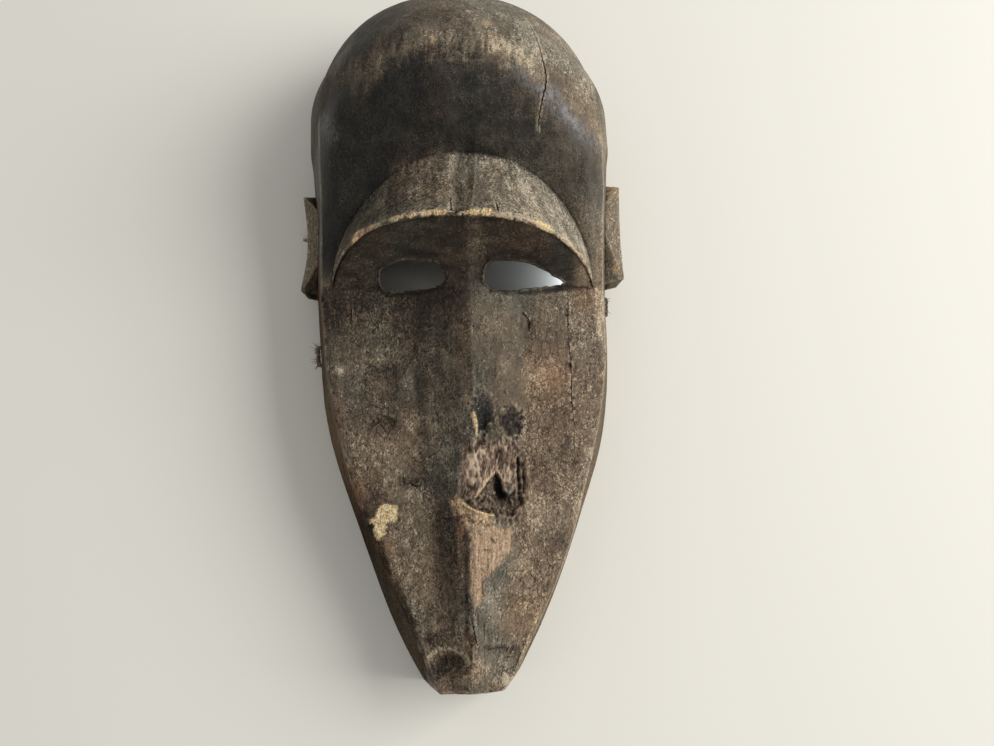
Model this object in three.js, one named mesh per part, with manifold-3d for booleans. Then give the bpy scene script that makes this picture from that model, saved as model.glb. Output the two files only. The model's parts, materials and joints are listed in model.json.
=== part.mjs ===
// Hyena mask of the Bamana, carved from one block of wood, with the remains of its fibre cords.
// Millimetres. The mask lies face up on the flat rim of its hollow back: X runs across the face,
// Y from the muzzle's end to the back of the head, Z out of the face. The origin is on the rim's
// plane, under the middle of the mask.

import * as THREE from 'three'
import Module from 'manifold-3d'

// Driving dimensions

const LENGTH = 441            // end of the muzzle to the back of the head
const HEAD_HALF = 98.5        // half the head's width, at the rim
const HEAD_HEIGHT = 124       // rim to crown
const DOME_REACH = 94         // the dome beyond the head's highest section
const FACE_HALF = 84.5        // half the face, between its two front edges
const TIP_HALF = 26.5         // half the muzzle's end, at the rim
const CREASE_Y = 10           // where the brow's underside meets the cheeks
const RIDGE_Z = 84            // top of the nose ridge below the brow
const NOSE_HALF = 31          // half the nose ridge's foot, below the brow
const VISOR_HALF = 78         // half the projecting brow
const VISOR_Z = 120           // the brow's front edge
const WALL = 12               // thickness of the carved shell
const EAR_REACH = 105         // half the width over the outer faces of the ears
const CORD = 3                // diameter of the fibre cord

const TOP_Y = LENGTH / 2
const TIP_Y = -LENGTH / 2
const DOME_Y = TOP_Y - DOME_REACH
const MUZZLE_LENGTH = CREASE_Y - TIP_Y

const WOOD = new THREE.MeshStandardMaterial({ color: 0x3b3129, roughness: 0.62, metalness: 0 })
const FIBRE = new THREE.MeshStandardMaterial({ color: 0x4a4238, roughness: 0.95, metalness: 0 })

const mix = (a, b, t) => a + (b - a) * t
const within = (low, value, high) => Math.min(high, Math.max(low, value))
const smooth = t => { const c = within(0, t, 1); return c * c * (3 - 2 * c) }
const hump = (t, reach) => Math.max(0, 1 - (t / reach) ** 2)
const steps = (count, from = 0, to = 1) =>
  Array.from({ length: count + 1 }, (_, i) => mix(from, to, i / count))

// Outlines and profiles of the mask

// The side walls bulge a little below the ears and at the muzzle's end.
const swell = y => 1.3 * Math.cos(2 * Math.PI * (y + 62) / 142) * smooth((50 - y) / 40)

// Half the width of the rim: the muzzle widens from its blunt end to the head.
function rimHalf(y) {
  const s = within(0, (30 - y) / (30 - TIP_Y), 1)
  return HEAD_HALF * (1 - (1 - TIP_HALF / HEAD_HALF) * s ** 2.1) + swell(y)
}

// How much further out the rim is than the front edge, because the side walls splay.
function splay(y) {
  const down = within(0, (CREASE_Y - y) / MUZZLE_LENGTH, 1)
  const atCrease = rimHalf(CREASE_Y) - swell(CREASE_Y) - FACE_HALF
  return mix(atCrease, 12, smooth(down * 4)) - 3.5 * smooth((down - 0.8) * 5) + swell(y)
}

const edgeHalf = y => (y >= CREASE_Y ? FACE_HALF : rimHalf(y) - splay(y))

// The block was carved a little askew. Its muzzle bows to the right and leans over to that side,
// and its head leans left, but the brow stands true.
const drift = y => 0.8 * Math.min(1, ((y - 25) / 40) ** 2)
const sway = y => drift(y) + 1.6 * Math.sin(Math.PI * within(0, (CREASE_Y - y) / MUZZLE_LENGTH, 1)) -
  4 * within(0, (y - 60) / (TOP_Y - 60), 1)
const tilt = y => 0.055 * hump(y + 170, 60)
const leaning = ([x, y, z]) => [x + sway(y) + tilt(y) * z, y, z]

// The nose ridge falls slowly, then faster, towards the muzzle's end.
const fall = y => within(0, (CREASE_Y - y) / MUZZLE_LENGTH, 1) ** 1.8
const ridgeZ = y => RIDGE_Z - 24 * fall(y)
const noseHeight = y => mix(10, 8, fall(y)) * mix(1, 0.3, smooth((-198 - y) / 16))
const noseHalf = y => mix(NOSE_HALF, 16.5, within(0, (-40 - y) / 150, 1)) *
  mix(1, 0.55, within(0, (-190 - y) / 28, 1))
const noseX = y => mix(3.3, 1.5, fall(y)) - drift(y) - 60 * tilt(y)
const cheekZ = y => ridgeZ(y) - noseHeight(y)
const cheekFall = y => 8 * edgeHalf(y) / FACE_HALF
const edgeZ = y => mix(cheekZ(y) - cheekFall(y) - 2, 74, smooth((y - CREASE_Y) / 90))

// The head's cross-section is a rounded arch, a superellipse that grows rounder towards the back
// of the head.
const ARCH = 2.7
const DOME = 2.2
const archZ = (x, power = ARCH) =>
  HEAD_HEIGHT * (1 - within(0, Math.abs(x) / HEAD_HALF, 1) ** power) ** (1 / power)
const archX = (z, power = ARCH) =>
  HEAD_HALF * (1 - within(0, z / HEAD_HEIGHT, 1) ** power) ** (1 / power)

// A roof with slightly rounded slopes and a sharp ridge, 1 at its ridge and 0 at its foot.
const roof = d => (d >= 1 ? 0 : 1 - d * (0.75 + 0.25 * d))

// The brow in plan: its front edge is a shallow arc, squarer on the left, and it meets the
// forehead along half an ellipse. Both end where the brow dies into the temples.
const across = x => within(0, Math.abs(x) / VISOR_HALF, 1)
const browEdgeY = x => CREASE_Y + 27 * (1 - across(x) ** (x < 0 ? 4.5 : 2.3)) ** 0.5
const browEdgeZ = x => mix(templeZ(x), VISOR_Z, (1 - across(x) ** 2.2) ** 0.8)
const browBackY = x => CREASE_Y + 75 * (1 - across(x) ** 2) ** 0.5
const browBackZ = x => templeZ(x) + 21 * (1 - across(x) ** 2) ** 0.7
const archEdgeY = x => DOME_Y - 2 - 24 * (Math.abs(x) / FACE_HALF) ** 2.6

// Height of the cheeks along the crease, which runs on into the temples.
function templeZ(x) {
  const beside = (Math.abs(x) - NOSE_HALF) / (FACE_HALF - NOSE_HALF)
  return cheekZ(CREASE_Y) - cheekFall(CREASE_Y) * within(0, beside, 1)
}

// Columns of the face: from the ridge over the nose and cheek to the front edge, then down the
// side wall to the rim, on both sides.

const SIDE = [
  ...steps(5).map(f => ({ part: 'nose', f })),
  ...steps(7).slice(1).map(f => ({ part: 'cheek', f })),
  { part: 'temple', f: 0.55 },
  { part: 'temple', f: 1 },
  ...steps(4).slice(1).map(f => ({ part: 'wall', f }))
]
const COLUMNS = [
  ...SIDE.slice(1).reverse().map(c => ({ ...c, side: -1 })),
  ...SIDE.map(c => ({ ...c, side: 1 }))
]

// x of a face column, where the nose's centre line, the nose's half width and the face's half
// width are given.
function columnX(column, centre, nose, half) {
  const foot = centre + column.side * nose
  const inner = column.side * half * VISOR_HALF / FACE_HALF
  if (column.part === 'nose') return mix(centre, foot, column.f)
  if (column.part === 'cheek') return mix(foot, inner, column.f)
  return mix(inner, column.side * half, column.part === 'temple' ? column.f : 1)
}

const worn = column => (column.part === 'wall' || column.f === 1 && column.part === 'temple' ? 2 : 0)

// A point of the side wall, below the front edge point given.
function onWall(column, edge, rimX, bulge) {
  const [x, y, z] = edge
  const keep = (1 - column.f) ** bulge
  return [mix(column.side * rimX, x, keep), y, z * (1 - column.f)]
}

// Two shallow nostrils hollowed into the muzzle's end.
const NOSTRILS = [
  { x: -11.5, y: -200, halfX: 11, halfY: 8.5, depth: 4 },
  { x: 14.5, y: -200.5, halfX: 10, halfY: 7.5, depth: 2.5 }
]
const nostrils = (x, y) => NOSTRILS.reduce(
  (sum, n) => sum + n.depth * hump(Math.hypot((x - n.x) / n.halfX, (y - n.y) / n.halfY), 1), 0)

// Zones of the face, from the muzzle's end to the back of the head. Each takes a column and how
// far along the zone the row is.

function muzzle(column, t) {
  const row = mix(TIP_Y, CREASE_Y, t)
  const half = edgeHalf(row)
  const x = columnX(column, noseX(row), noseHalf(row), half)
  const rounded = 2.2 + (x < 0 ? -0.5 : 0.8) * Math.abs(x / half) ** 3
  const y = row + rounded * (1 - within(0, (row - TIP_Y) / 12, 1))
  const beside = Math.max(0, Math.abs(x - noseX(row)) - noseHalf(row)) / (half - noseHalf(row))
  const nose = noseHeight(row) * roof(Math.abs(x - noseX(row)) / noseHalf(row))
  const z = cheekZ(row) + nose - cheekFall(row) * beside - nostrils(x, y) - worn(column)
  if (column.part !== 'wall') return [x, y, z]
  const [wallX, , wallZ] = onWall(column, [x, y, z], rimHalf(row), 1.15)
  return [wallX, mix(y, row, column.f), wallZ]
}

const headX = (column, centre) => columnX(column, centre, NOSE_HALF, FACE_HALF)

function headWall(column, edge) {
  return onWall(column, edge, rimHalf(edge[1]), mix(1.15, ARCH, smooth((edge[1] - 55) / 75)))
}

const LIP = 3.5               // thickness of the brow's front edge

function underBrow(column, t) {
  const x = headX(column, mix(3.3, -2.5, t))
  const beyond = Math.abs(x) >= VISOR_HALF
  const lip = beyond ? 0 : LIP * Math.min(1, (browEdgeZ(x) - templeZ(x)) / LIP)
  const y = mix(CREASE_Y, browEdgeY(x) - lip * 0.5, t)
  const nose = noseHeight(CREASE_Y) * (1 - t) * roof(Math.abs(x - 3.3) / mix(NOSE_HALF, 14, t))
  const hollow = beyond ? 0 : 4 * Math.sin(Math.PI * t) * (1 - across(x))
  const z = mix(templeZ(x), browEdgeZ(x) - lip, t) + nose - hollow - worn(column)
  return column.part === 'wall' ? headWall(column, [x, y, z]) : [x, y, z]
}

// A shallow groove runs down the middle of the brow, notches its edge and dies on the forehead.
const groove = column => (column.part === 'nose' && column.f === 0 ? 2 : 0)

function brow(column, t) {
  const x = headX(column, mix(-2.5, 1.5, t))
  const y = mix(browEdgeY(x), browBackY(x), t)
  const sag = Math.abs(x) < VISOR_HALF ? 3 * Math.sin(Math.PI * t) * (1 - across(x)) : 0
  const z = mix(browEdgeZ(x), browBackZ(x), t) - sag - groove(column) - worn(column)
  return column.part === 'wall' ? headWall(column, [x, y, z]) : [x, y, z]
}

// Beside the brow the temples rise smoothly from the crease to the crown.
const templeRise = (x, y) =>
  mix(templeZ(x), archZ(x), smooth((y - CREASE_Y) / (archEdgeY(x) - CREASE_Y)))

function forehead(column, t) {
  const x = headX(column, 1.5)
  const y = mix(browBackY(x), archEdgeY(x), t)
  const middle = mix(browBackZ(x), archZ(x), mix(t, Math.sin(Math.PI * t / 2), 0.45))
  const step = browBackZ(x) - templeRise(x, browBackY(x))
  const temple = templeRise(x, y) + step * (1 - t)
  const rise = mix(middle, temple, smooth((across(x) - 0.85) / 0.15))
  const z = rise - worn(column) * (1 - t) - groove(column) * (1 - t) ** 3
  return column.part === 'wall' ? headWall(column, [x, y, z]) : [x, y, z]
}

// Beyond the forehead the arched section runs straight, then turns about its foot to the rim.
function domeSection(column, power) {
  const x = headX(column, 1.5)
  if (column.part !== 'wall') return [x, archZ(x, power)]
  const z = archZ(x, power) * (1 - column.f)
  return [column.side * archX(z, power), z]
}

function crown(column, t) {
  const [x, z] = domeSection(column)
  return [x, mix(archEdgeY(headX(column, 1.5)), DOME_Y, t), z]
}

function dome(column, t) {
  const [x, r] = domeSection(column, mix(ARCH, DOME, smooth(t * 3.5)))
  const turn = t * Math.PI / 2
  return [x, DOME_Y + r * Math.sin(turn) * DOME_REACH / HEAD_HEIGHT, r * Math.cos(turn)]
}

const ZONES = [
  { zone: muzzle, rows: [...steps(10, 0, 0.16), ...steps(17, 0.16, 1).slice(1)] },
  { zone: underBrow, rows: steps(4).slice(1) },
  { zone: brow, rows: steps(4) },
  { zone: forehead, rows: steps(6).slice(1) },
  { zone: crown, rows: steps(2).slice(1) },
  { zone: dome, rows: steps(12).slice(1) }
]
const OUTSIDE = ZONES.flatMap(({ zone, rows }) =>
  rows.map(t => COLUMNS.map(column => leaning(zone(column, t)))))

// The hollow follows the outside, plainer: no nose and no brow.

const INSIDE_START = TIP_Y + 14

function insideZ(y) {
  if (y < CREASE_Y) return cheekZ(y) - WALL - 1
  const temple = mix(cheekZ(CREASE_Y) - WALL - 1, 74, within(0, (y - CREASE_Y) / 80, 1))
  return mix(temple, HEAD_HEIGHT - WALL - 1, smooth((y - 82) / (DOME_Y - 82)))
}

// A cross-section of the hollow at the angle given, squarer in the muzzle than in the head.
function insidePoint(angle, y, power = mix(4, ARCH, smooth((y - 60) / 50))) {
  const [cos, sin] = [Math.cos(angle), Math.sin(angle)]
  const x = -(rimHalf(y) - WALL) * Math.sign(cos) * Math.abs(cos) ** (2 / power)
  return [x, y, insideZ(y) * sin ** (2 / power)]
}

function insideDome(angle, t) {
  const [x, , r] = insidePoint(angle, DOME_Y, mix(ARCH, DOME, smooth(t * 3.5)))
  const turn = t * Math.PI / 2
  const reach = (DOME_REACH - WALL) / insideZ(DOME_Y)
  return [x, DOME_Y + r * Math.sin(turn) * reach, r * Math.cos(turn)]
}

const INSIDE_ANGLES = steps(22, 0, Math.PI)
const INSIDE = [
  ...steps(16, INSIDE_START, DOME_Y).map(y => INSIDE_ANGLES.map(a => leaning(insidePoint(a, y)))),
  ...steps(8).slice(1).map(t => INSIDE_ANGLES.map(a => leaning(insideDome(a, t))))
]

// Solids from rows of points

const wasm = await Module()
wasm.setup()

// Gathers triangles over shared points, and leaves out those that have shrunk to a line.
class Skin {
  constructor() {
    this.points = []
    this.faces = []
    this.known = new Map()
  }

  point(p) {
    const key = p.map(v => Math.round(v * 1000)).join()
    if (!this.known.has(key)) {
      this.known.set(key, this.points.length)
      this.points.push(p)
    }
    return this.known.get(key)
  }

  triangle(a, b, c) {
    const corners = [a, b, c].map(p => this.point(p))
    if (new Set(corners).size === 3) this.faces.push(corners)
  }

  quad(a, b, c, d) {
    this.triangle(a, b, c)
    this.triangle(a, c, d)
  }

  solid() {
    const vertProperties = Float32Array.from(this.points.flat())
    const triVerts = Uint32Array.from(this.faces.flat())
    return new wasm.Manifold(new wasm.Mesh({ numProp: 3, vertProperties, triVerts }))
  }
}

// A dome-like solid: rows of points from one side of its flat back to the other, the first row a
// flat end and the last one lying in the plane of the back.
function shellSolid(rows) {
  const skin = new Skin()
  const last = rows[0].length - 1
  const end = rows[rows.length - 1]
  rows.slice(1).forEach((row, i) => {
    const before = rows[i]
    for (let j = 0; j < last; j++) skin.quad(before[j], before[j + 1], row[j + 1], row[j])
    skin.quad(before[0], row[0], row[last], before[last])
  })
  for (let j = 0; j < last / 2; j++) {
    const k = last - j
    skin.quad(rows[0][j], rows[0][k], rows[0][k - 1], rows[0][j + 1])
    skin.quad(end[j], end[j + 1], end[k - 1], end[k])
  }
  return skin.solid()
}

// A solid of equal rings of points, counter-clockwise seen from the first ring's outer side.
function ringSolid(rings) {
  const skin = new Skin()
  const count = rings[0].length
  rings.slice(1).forEach((ring, i) => {
    for (let j = 0; j < count; j++) {
      const k = (j + 1) % count
      skin.quad(rings[i][k], rings[i][j], ring[j], ring[k])
    }
  })
  const far = rings[rings.length - 1]
  for (let j = 1; j < count - 1; j++) {
    skin.triangle(rings[0][0], rings[0][j], rings[0][j + 1])
    skin.triangle(far[0], far[j + 1], far[j])
  }
  return skin.solid()
}

function solidOf(geometry) {
  const skin = new Skin()
  const at = geometry.getAttribute('position')
  const index = geometry.index ? [...geometry.index.array] : [...Array(at.count).keys()]
  const corner = i => [at.getX(index[i]), at.getY(index[i]), at.getZ(index[i])]
  for (let i = 0; i < index.length; i += 3) skin.triangle(corner(i), corner(i + 1), corner(i + 2))
  return skin.solid()
}

function meshOf(solid, name, material) {
  const { vertProperties, triVerts } = solid.getMesh()
  const geometry = new THREE.BufferGeometry()
  geometry.setAttribute('position', new THREE.BufferAttribute(vertProperties, 3))
  geometry.setIndex(new THREE.BufferAttribute(triVerts, 1))
  geometry.computeVertexNormals()
  const mesh = new THREE.Mesh(geometry, material)
  mesh.name = name
  return mesh
}

// Ears: thick lugs on the side walls. The outer face is slightly hollow. At each end a facet is cut
// off the front face, beside the head. It starts at the shares of the ear's length given here.
const EARS = [
  { side: -1, low: 20, high: 88, reach: EAR_REACH - 1, dip: 2.5, slant: 4, facets: [0.26, 0.78] },
  { side: 1, low: 26, high: 97, reach: EAR_REACH + 1, dip: 1, slant: 7, facets: [0.48, 0.72] }
]
const EAR_ROOT = 91
const EAR_FOOT = 93
const EAR_BACK_Z = 9
const EAR_FRONT_Z = 35
const EAR_CORNER_Z = 28
const EAR_FACET_DROP = 11

function earSolid({ side, low, high, reach, dip, slant, facets }) {
  const rings = steps(10).map(t => {
    const y = mix(low, high, t)
    const out = reach - dip * Math.sin(Math.PI * t)
    const outerY = y - slant * (t - 0.5)
    const cut = Math.max((facets[0] - t) / facets[0], (t - facets[1]) / (1 - facets[1]))
    const fold = within(0.08, cut, 0.92)
    const ring = [
      [side * EAR_ROOT, y, EAR_BACK_Z],
      [side * (out - 1.5), outerY, EAR_BACK_Z],
      [side * out, outerY, EAR_CORNER_Z],
      [side * mix(EAR_FOOT, out, fold), mix(y, outerY, fold), mix(EAR_FRONT_Z, EAR_CORNER_Z, fold)],
      [side * EAR_ROOT, y, EAR_FRONT_Z - EAR_FACET_DROP * within(0, cut, 1)]
    ]
    return side > 0 ? ring : ring.reverse()
  })
  return ringSolid(rings)
}

// Eye holes, cut slanting up through the underside of the brow. Each outline is the hole at the
// height EYE_Z, and the cut leans as the carver's tool did.
const EYE_Z = 80
const EYE_LEAN = -0.34
const LEFT_EYE = [[-48, 7], [-43, 5.2], [-22, 5.8], [-13, 8.6], [-10.2, 13], [-12, 18.5],
  [-17, 22.5], [-34, 23.6], [-46.5, 19.5], [-49, 14]]
const RIGHT_EYE = [[12, 9.5], [16, 5.8], [24, 4.8], [43, 6.6], [56, 8], [58, 10.8],
  [46, 18.2], [37, 22.2], [27, 23.6], [14.5, 22.2], [11.5, 14]]

function eyeCut(outline, leanX) {
  const at = z => outline.map(([x, y]) => [x + leanX * (z - EYE_Z), y + EYE_LEAN * (z - EYE_Z), z])
  return ringSolid([at(130), at(40)])
}

// Old damage: a sooty pit, an insect pit and a rotted pocket with a deep hole and a crack.
const PITS = [
  { x: 9, y: -67.5, halfX: 6, halfY: 13, depth: 5.5, turn: 0 },
  { x: 26, y: -70.5, halfX: 5.6, halfY: 8.4, depth: 3.5, turn: 0 },
  { x: 15, y: -111, halfX: 16, halfY: 12, depth: 5, turn: 0.1 },
  { x: 19.5, y: -107, halfX: 4.5, halfY: 9, depth: 12, turn: 0.1 },
  { x: 31.3, y: -100, halfX: 2.4, halfY: 14, depth: 9, turn: 0 }
]

function faceHeight(x, y) {
  const d = Math.abs(x - sway(y) - tilt(y) * RIDGE_Z - noseX(y)) / noseHalf(y)
  return cheekZ(y) + noseHeight(y) * roof(d)
}

function pit({ x, y, halfX, halfY, depth, turn }) {
  const bowl = new THREE.SphereGeometry(1, 12, 6)
  bowl.rotateX(Math.PI / 2)
  bowl.scale(halfX, halfY, depth)
  bowl.rotateZ(turn)
  bowl.translate(x, y, faceHeight(x, y) + depth * 0.12)
  return solidOf(bowl)
}

// Fibre cord, a round section swept along a path

function cordGeometry(points, diameter) {
  const path = new THREE.CatmullRomCurve3(points.map(p => new THREE.Vector3(...p)), false, 'centripetal')
  const section = new THREE.Shape()
  section.absarc(0, 0, diameter / 2, 0, 2 * Math.PI)
  return new THREE.ExtrudeGeometry(section, {
    steps: Math.ceil(path.getLength() / diameter), extrudePath: path, bevelEnabled: false, curveSegments: 4
  })
}

function hole(from, to, diameter) {
  const start = new THREE.Vector3(...from)
  const finish = new THREE.Vector3(...to)
  const drill = new THREE.CylinderGeometry(diameter / 2, diameter / 2, start.distanceTo(finish), 10)
  drill.applyQuaternion(new THREE.Quaternion().setFromUnitVectors(
    new THREE.Vector3(0, 1, 0), finish.clone().sub(start).normalize()))
  drill.translate(...start.add(finish).multiplyScalar(0.5).toArray())
  return solidOf(drill)
}

const HOLE = CORD + 1.4
const STITCH_Z = 14
const STITCHES = [
  { name: 'side_stitch_left', side: -1, low: -24, high: -12 },
  { name: 'side_stitch_right', side: 1, low: 8, high: 20 }
]

const wallX = (side, y) => sway(y) + tilt(y) * STITCH_Z +
  side * mix(rimHalf(y), edgeHalf(y), (STITCH_Z / edgeZ(y)) ** 1.15)

// A stitch comes out of one hole in the side wall, runs along it and goes in by the next.
function stitchPath({ side, low, high }) {
  const at = (y, depth) => [wallX(side, y) + side * depth, y, STITCH_Z]
  const out = CORD / 2 + 0.9
  const end = y => [at(y, -WALL - 5), at(y, -WALL / 2), at(y, -0.5)]
  const bend = (y, towards) => [at(y + 0.4 * towards, out * 0.7), at(y + 2 * towards, out)]
  return [...end(low), ...bend(low, 1), at((low + high) / 2, out),
    ...bend(high, -1).reverse(), ...end(high).reverse()]
}

function stitchHoles({ side, low, high }) {
  return [low, high].map(y => hole(
    [wallX(side, y) - side * (WALL + 12), y, STITCH_Z], [wallX(side, y) + side * 8, y, STITCH_Z], HOLE))
}

const TUFT_Y = 58
const TUFT_Z = 22
const TUFT_HOLE = [[-92, TUFT_Y, TUFT_Z], [-120, TUFT_Y, TUFT_Z]]
const TUFT = [[-93, TUFT_Y, TUFT_Z], [-99, TUFT_Y, TUFT_Z], [-104.6, TUFT_Y + 1, TUFT_Z + 0.6]]

// The mask

let mask = shellSolid(OUTSIDE)
for (const ear of EARS) mask = mask.add(earSolid(ear))
const hollow = shellSolid(INSIDE).translate([0, 0, -1])
const cuts = [
  hollow,
  eyeCut(LEFT_EYE, 0.05),
  eyeCut(RIGHT_EYE, -0.09),
  ...PITS.map(pit),
  ...STITCHES.flatMap(stitchHoles),
  hole(...TUFT_HOLE, HOLE)
]
for (const cut of cuts) mask = mask.subtract(cut)

const group = new THREE.Group()
group.add(meshOf(mask, 'mask', WOOD))
for (const stitch of STITCHES) {
  group.add(meshOf(solidOf(cordGeometry(stitchPath(stitch), CORD)), stitch.name, FIBRE))
}
group.add(meshOf(solidOf(cordGeometry(TUFT, CORD)), 'ear_tuft_left', FIBRE))

export default group
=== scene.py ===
# Hyena mask of the Bamana, carved from one block of wood, smoked, handled and worn, with the
# remains of its fibre cords. It lies face up on the rim of its hollow back. Shapes are worked out
# in millimetres, in the frame's own axes, and turned to metres when a mesh is made.

import json
import math

import bmesh
import bpy
import numpy as np
from mathutils import Matrix, Vector

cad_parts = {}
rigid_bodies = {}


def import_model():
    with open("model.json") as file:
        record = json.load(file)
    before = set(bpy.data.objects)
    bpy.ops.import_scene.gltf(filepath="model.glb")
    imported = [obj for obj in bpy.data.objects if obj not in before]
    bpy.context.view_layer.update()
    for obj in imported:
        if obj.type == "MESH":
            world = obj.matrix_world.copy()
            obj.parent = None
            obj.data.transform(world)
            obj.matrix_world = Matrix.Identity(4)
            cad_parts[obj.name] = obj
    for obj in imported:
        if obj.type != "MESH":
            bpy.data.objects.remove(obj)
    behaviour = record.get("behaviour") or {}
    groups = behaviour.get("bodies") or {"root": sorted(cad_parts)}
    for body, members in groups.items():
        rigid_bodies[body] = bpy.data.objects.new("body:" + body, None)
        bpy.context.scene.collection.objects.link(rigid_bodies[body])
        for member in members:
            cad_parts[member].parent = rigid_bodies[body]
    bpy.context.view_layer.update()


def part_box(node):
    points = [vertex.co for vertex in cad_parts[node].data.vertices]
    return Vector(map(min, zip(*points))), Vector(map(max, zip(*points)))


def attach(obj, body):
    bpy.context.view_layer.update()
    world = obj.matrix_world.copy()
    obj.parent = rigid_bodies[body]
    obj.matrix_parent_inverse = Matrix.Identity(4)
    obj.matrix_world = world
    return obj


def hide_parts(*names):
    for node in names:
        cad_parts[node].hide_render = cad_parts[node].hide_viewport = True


for spare in list(bpy.data.objects):
    bpy.data.objects.remove(spare)
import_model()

# The block and its outline
# The mask is hewn from one block of light wood with an adze. In plan it widens from the blunt end
# of the muzzle to a round skull, and its side walls splay towards the flat rim of the back.

MM = 0.001
block_low, block_high = (np.array(corner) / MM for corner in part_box("mask"))
TIP_Y, TOP_Y = block_low[1], block_high[1]
HEAD_HALF = 98.5              # half the head's width, at the rim
FACE_HALF = 84.5              # half the face, between its two front edges
TIP_HALF = 26.5               # half the muzzle's end, at the rim
CREASE_Y = 10                 # where the brow's underside meets the cheeks
MUZZLE_LENGTH = CREASE_Y - TIP_Y
SPLAY_LOW = 12                # the rim beyond the front edge, down the muzzle


def mix(a, b, t):
    return a + (b - a) * t


def smooth(t):
    c = np.clip(t, 0, 1)
    return c * c * (3 - 2 * c)


def hump(t):
    return np.maximum(0, 1 - t**2)


def down(y):
    """How far down the muzzle, from 0 at the crease under the brow to 1 at its end."""
    return np.clip((CREASE_Y - y) / MUZZLE_LENGTH, 0, 1)


def swell(y):
    """The side walls bulge a little below the ears and at the muzzle's end."""
    return 1.3 * np.cos(2 * np.pi * (y + 62) / 142) * smooth((50 - y) / 40)


def rim_half(y):
    """Half the width at the rim, from the muzzle's end up to the head."""
    s = np.clip((30 - y) / (30 - TIP_Y), 0, 1)
    return HEAD_HALF * (1 - (1 - TIP_HALF / HEAD_HALF) * s**2.1) + swell(y)


def splay(y):
    """How much further out the rim is than the front edge."""
    at_crease = rim_half(CREASE_Y) - swell(CREASE_Y) - FACE_HALF
    flare = mix(at_crease, SPLAY_LOW, smooth(down(y) * 4)) - 3.5 * smooth((down(y) - 0.8) * 5)
    return flare + swell(y)


def edge_half(y):
    """Half the width between the two front edges."""
    return np.where(y >= CREASE_Y, FACE_HALF, rim_half(y) - splay(y))


# The block was carved a little askew. Its muzzle bows to the right and leans over to that side,
# and its head leans left, but the brow stands true.
BOW, HEAD_LEAN, MUZZLE_TILT = 1.6, 4, 0.055


def drift(y):
    """How far the block lies to the right of its brow, which stands true."""
    return 0.8 * np.minimum(1, ((y - 25) / 40) ** 2)


def sway(y):
    """Where the middle of the block lies across, at the rim."""
    lean = HEAD_LEAN * np.clip((y - 60) / (TOP_Y - 60), 0, 1)
    return drift(y) + BOW * np.sin(np.pi * down(y)) - lean


def tilt(y):
    """How far it leans to the right for each millimetre up."""
    return MUZZLE_TILT * hump((y + 170) / 60)


# The long face
# A nose ridge with sloping sides runs down the flat cheeks. It falls slowly, then faster, towards
# the muzzle's end, and narrows between two shallow nostrils.

RIDGE_Z = 84                  # top of the nose ridge, below the brow
NOSE_X = 3.3                  # its place across there
NOSE_RISE = 10                # its height over the cheeks
NOSE_HALF = 31                # half its foot, below the brow
NOSE_HALF_LOW = 16.5          # and above the nostrils
FACE_DROP = 24                # how far the cheeks fall to the muzzle's end
CHEEK_SLOPE = 8               # how far they fall towards the front edges
TEMPLE_Z = 74                 # the front edges beside the head


def fall(y):
    return down(y) ** 1.8


def nose_height(y):
    return mix(NOSE_RISE, 8, fall(y)) * mix(1, 0.3, smooth((-198 - y) / 16))


def nose_half(y):
    narrow = mix(NOSE_HALF, NOSE_HALF_LOW, np.clip((-40 - y) / 150, 0, 1))
    return narrow * mix(1, 0.55, np.clip((-190 - y) / 28, 0, 1))


def nose_x(y):
    return mix(NOSE_X, 1.5, fall(y)) - drift(y) - 60 * tilt(y)


def cheek_z(y):
    return RIDGE_Z - FACE_DROP * fall(y) - nose_height(y)


def cheek_fall(y):
    return CHEEK_SLOPE * edge_half(y) / FACE_HALF


def edge_z(y):
    return mix(cheek_z(y) - cheek_fall(y) - 2, TEMPLE_Z, smooth((y - CREASE_Y) / 90))


def roof(d):
    """A roof with slightly rounded slopes, 1 at its ridge, that runs out softly at its foot."""
    off = np.hypot(d, 0.025) - 0.025
    slope = 1 - off * (0.75 + 0.25 * off)
    return (slope + np.hypot(slope, 0.07)) / 2


def face_z(x, y):
    """Height of the muzzle's face, before wear, for x measured from the ridge."""
    beside = np.maximum(0, np.abs(x) - nose_half(y)) / (edge_half(y) - nose_half(y))
    return cheek_z(y) + nose_height(y) * roof(np.abs(x) / nose_half(y)) - cheek_fall(y) * beside


# The brow
# The brow juts out over the eyes like a visor. In plan its front edge is a shallow arc, squarer on
# the left, and it meets the forehead along half an ellipse and dies into the temples at both ends.

VISOR_HALF = 78               # half the brow's length
VISOR_Z = 120                 # its front edge
LIP = 3.5                     # thickness of that edge
BROW_REACH = 27               # the front edge beyond the crease, at the middle
BROW_BACK = 75                # where it meets the forehead, beyond the crease
BROW_RISE = 21                # and how high, above the temples
BROW_X = -2.5                 # the middle of its front edge


def across(x):
    return np.clip(np.abs(x) / VISOR_HALF, 0, 1)


def temple_z(x):
    """Height of the cheeks and temples along the crease."""
    beside = (np.abs(x) - NOSE_HALF) / (FACE_HALF - NOSE_HALF)
    return cheek_z(CREASE_Y) - cheek_fall(CREASE_Y) * np.clip(beside, 0, 1)


def brow_edge_y(x):
    return CREASE_Y + BROW_REACH * (1 - across(x) ** np.where(x < 0, 4.5, 2.3)) ** 0.5


def brow_edge_z(x):
    return mix(temple_z(x), VISOR_Z, (1 - across(x) ** 2.2) ** 0.8)


def brow_back_y(x):
    return CREASE_Y + BROW_BACK * (1 - across(x) ** 2) ** 0.5


def brow_back_z(x):
    return temple_z(x) + BROW_RISE * (1 - across(x) ** 2) ** 0.7


# The skull
# Behind the brow the forehead rises to an arched crown, which turns down to the rim as a dome.
# A shallow groove runs up its middle.

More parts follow.
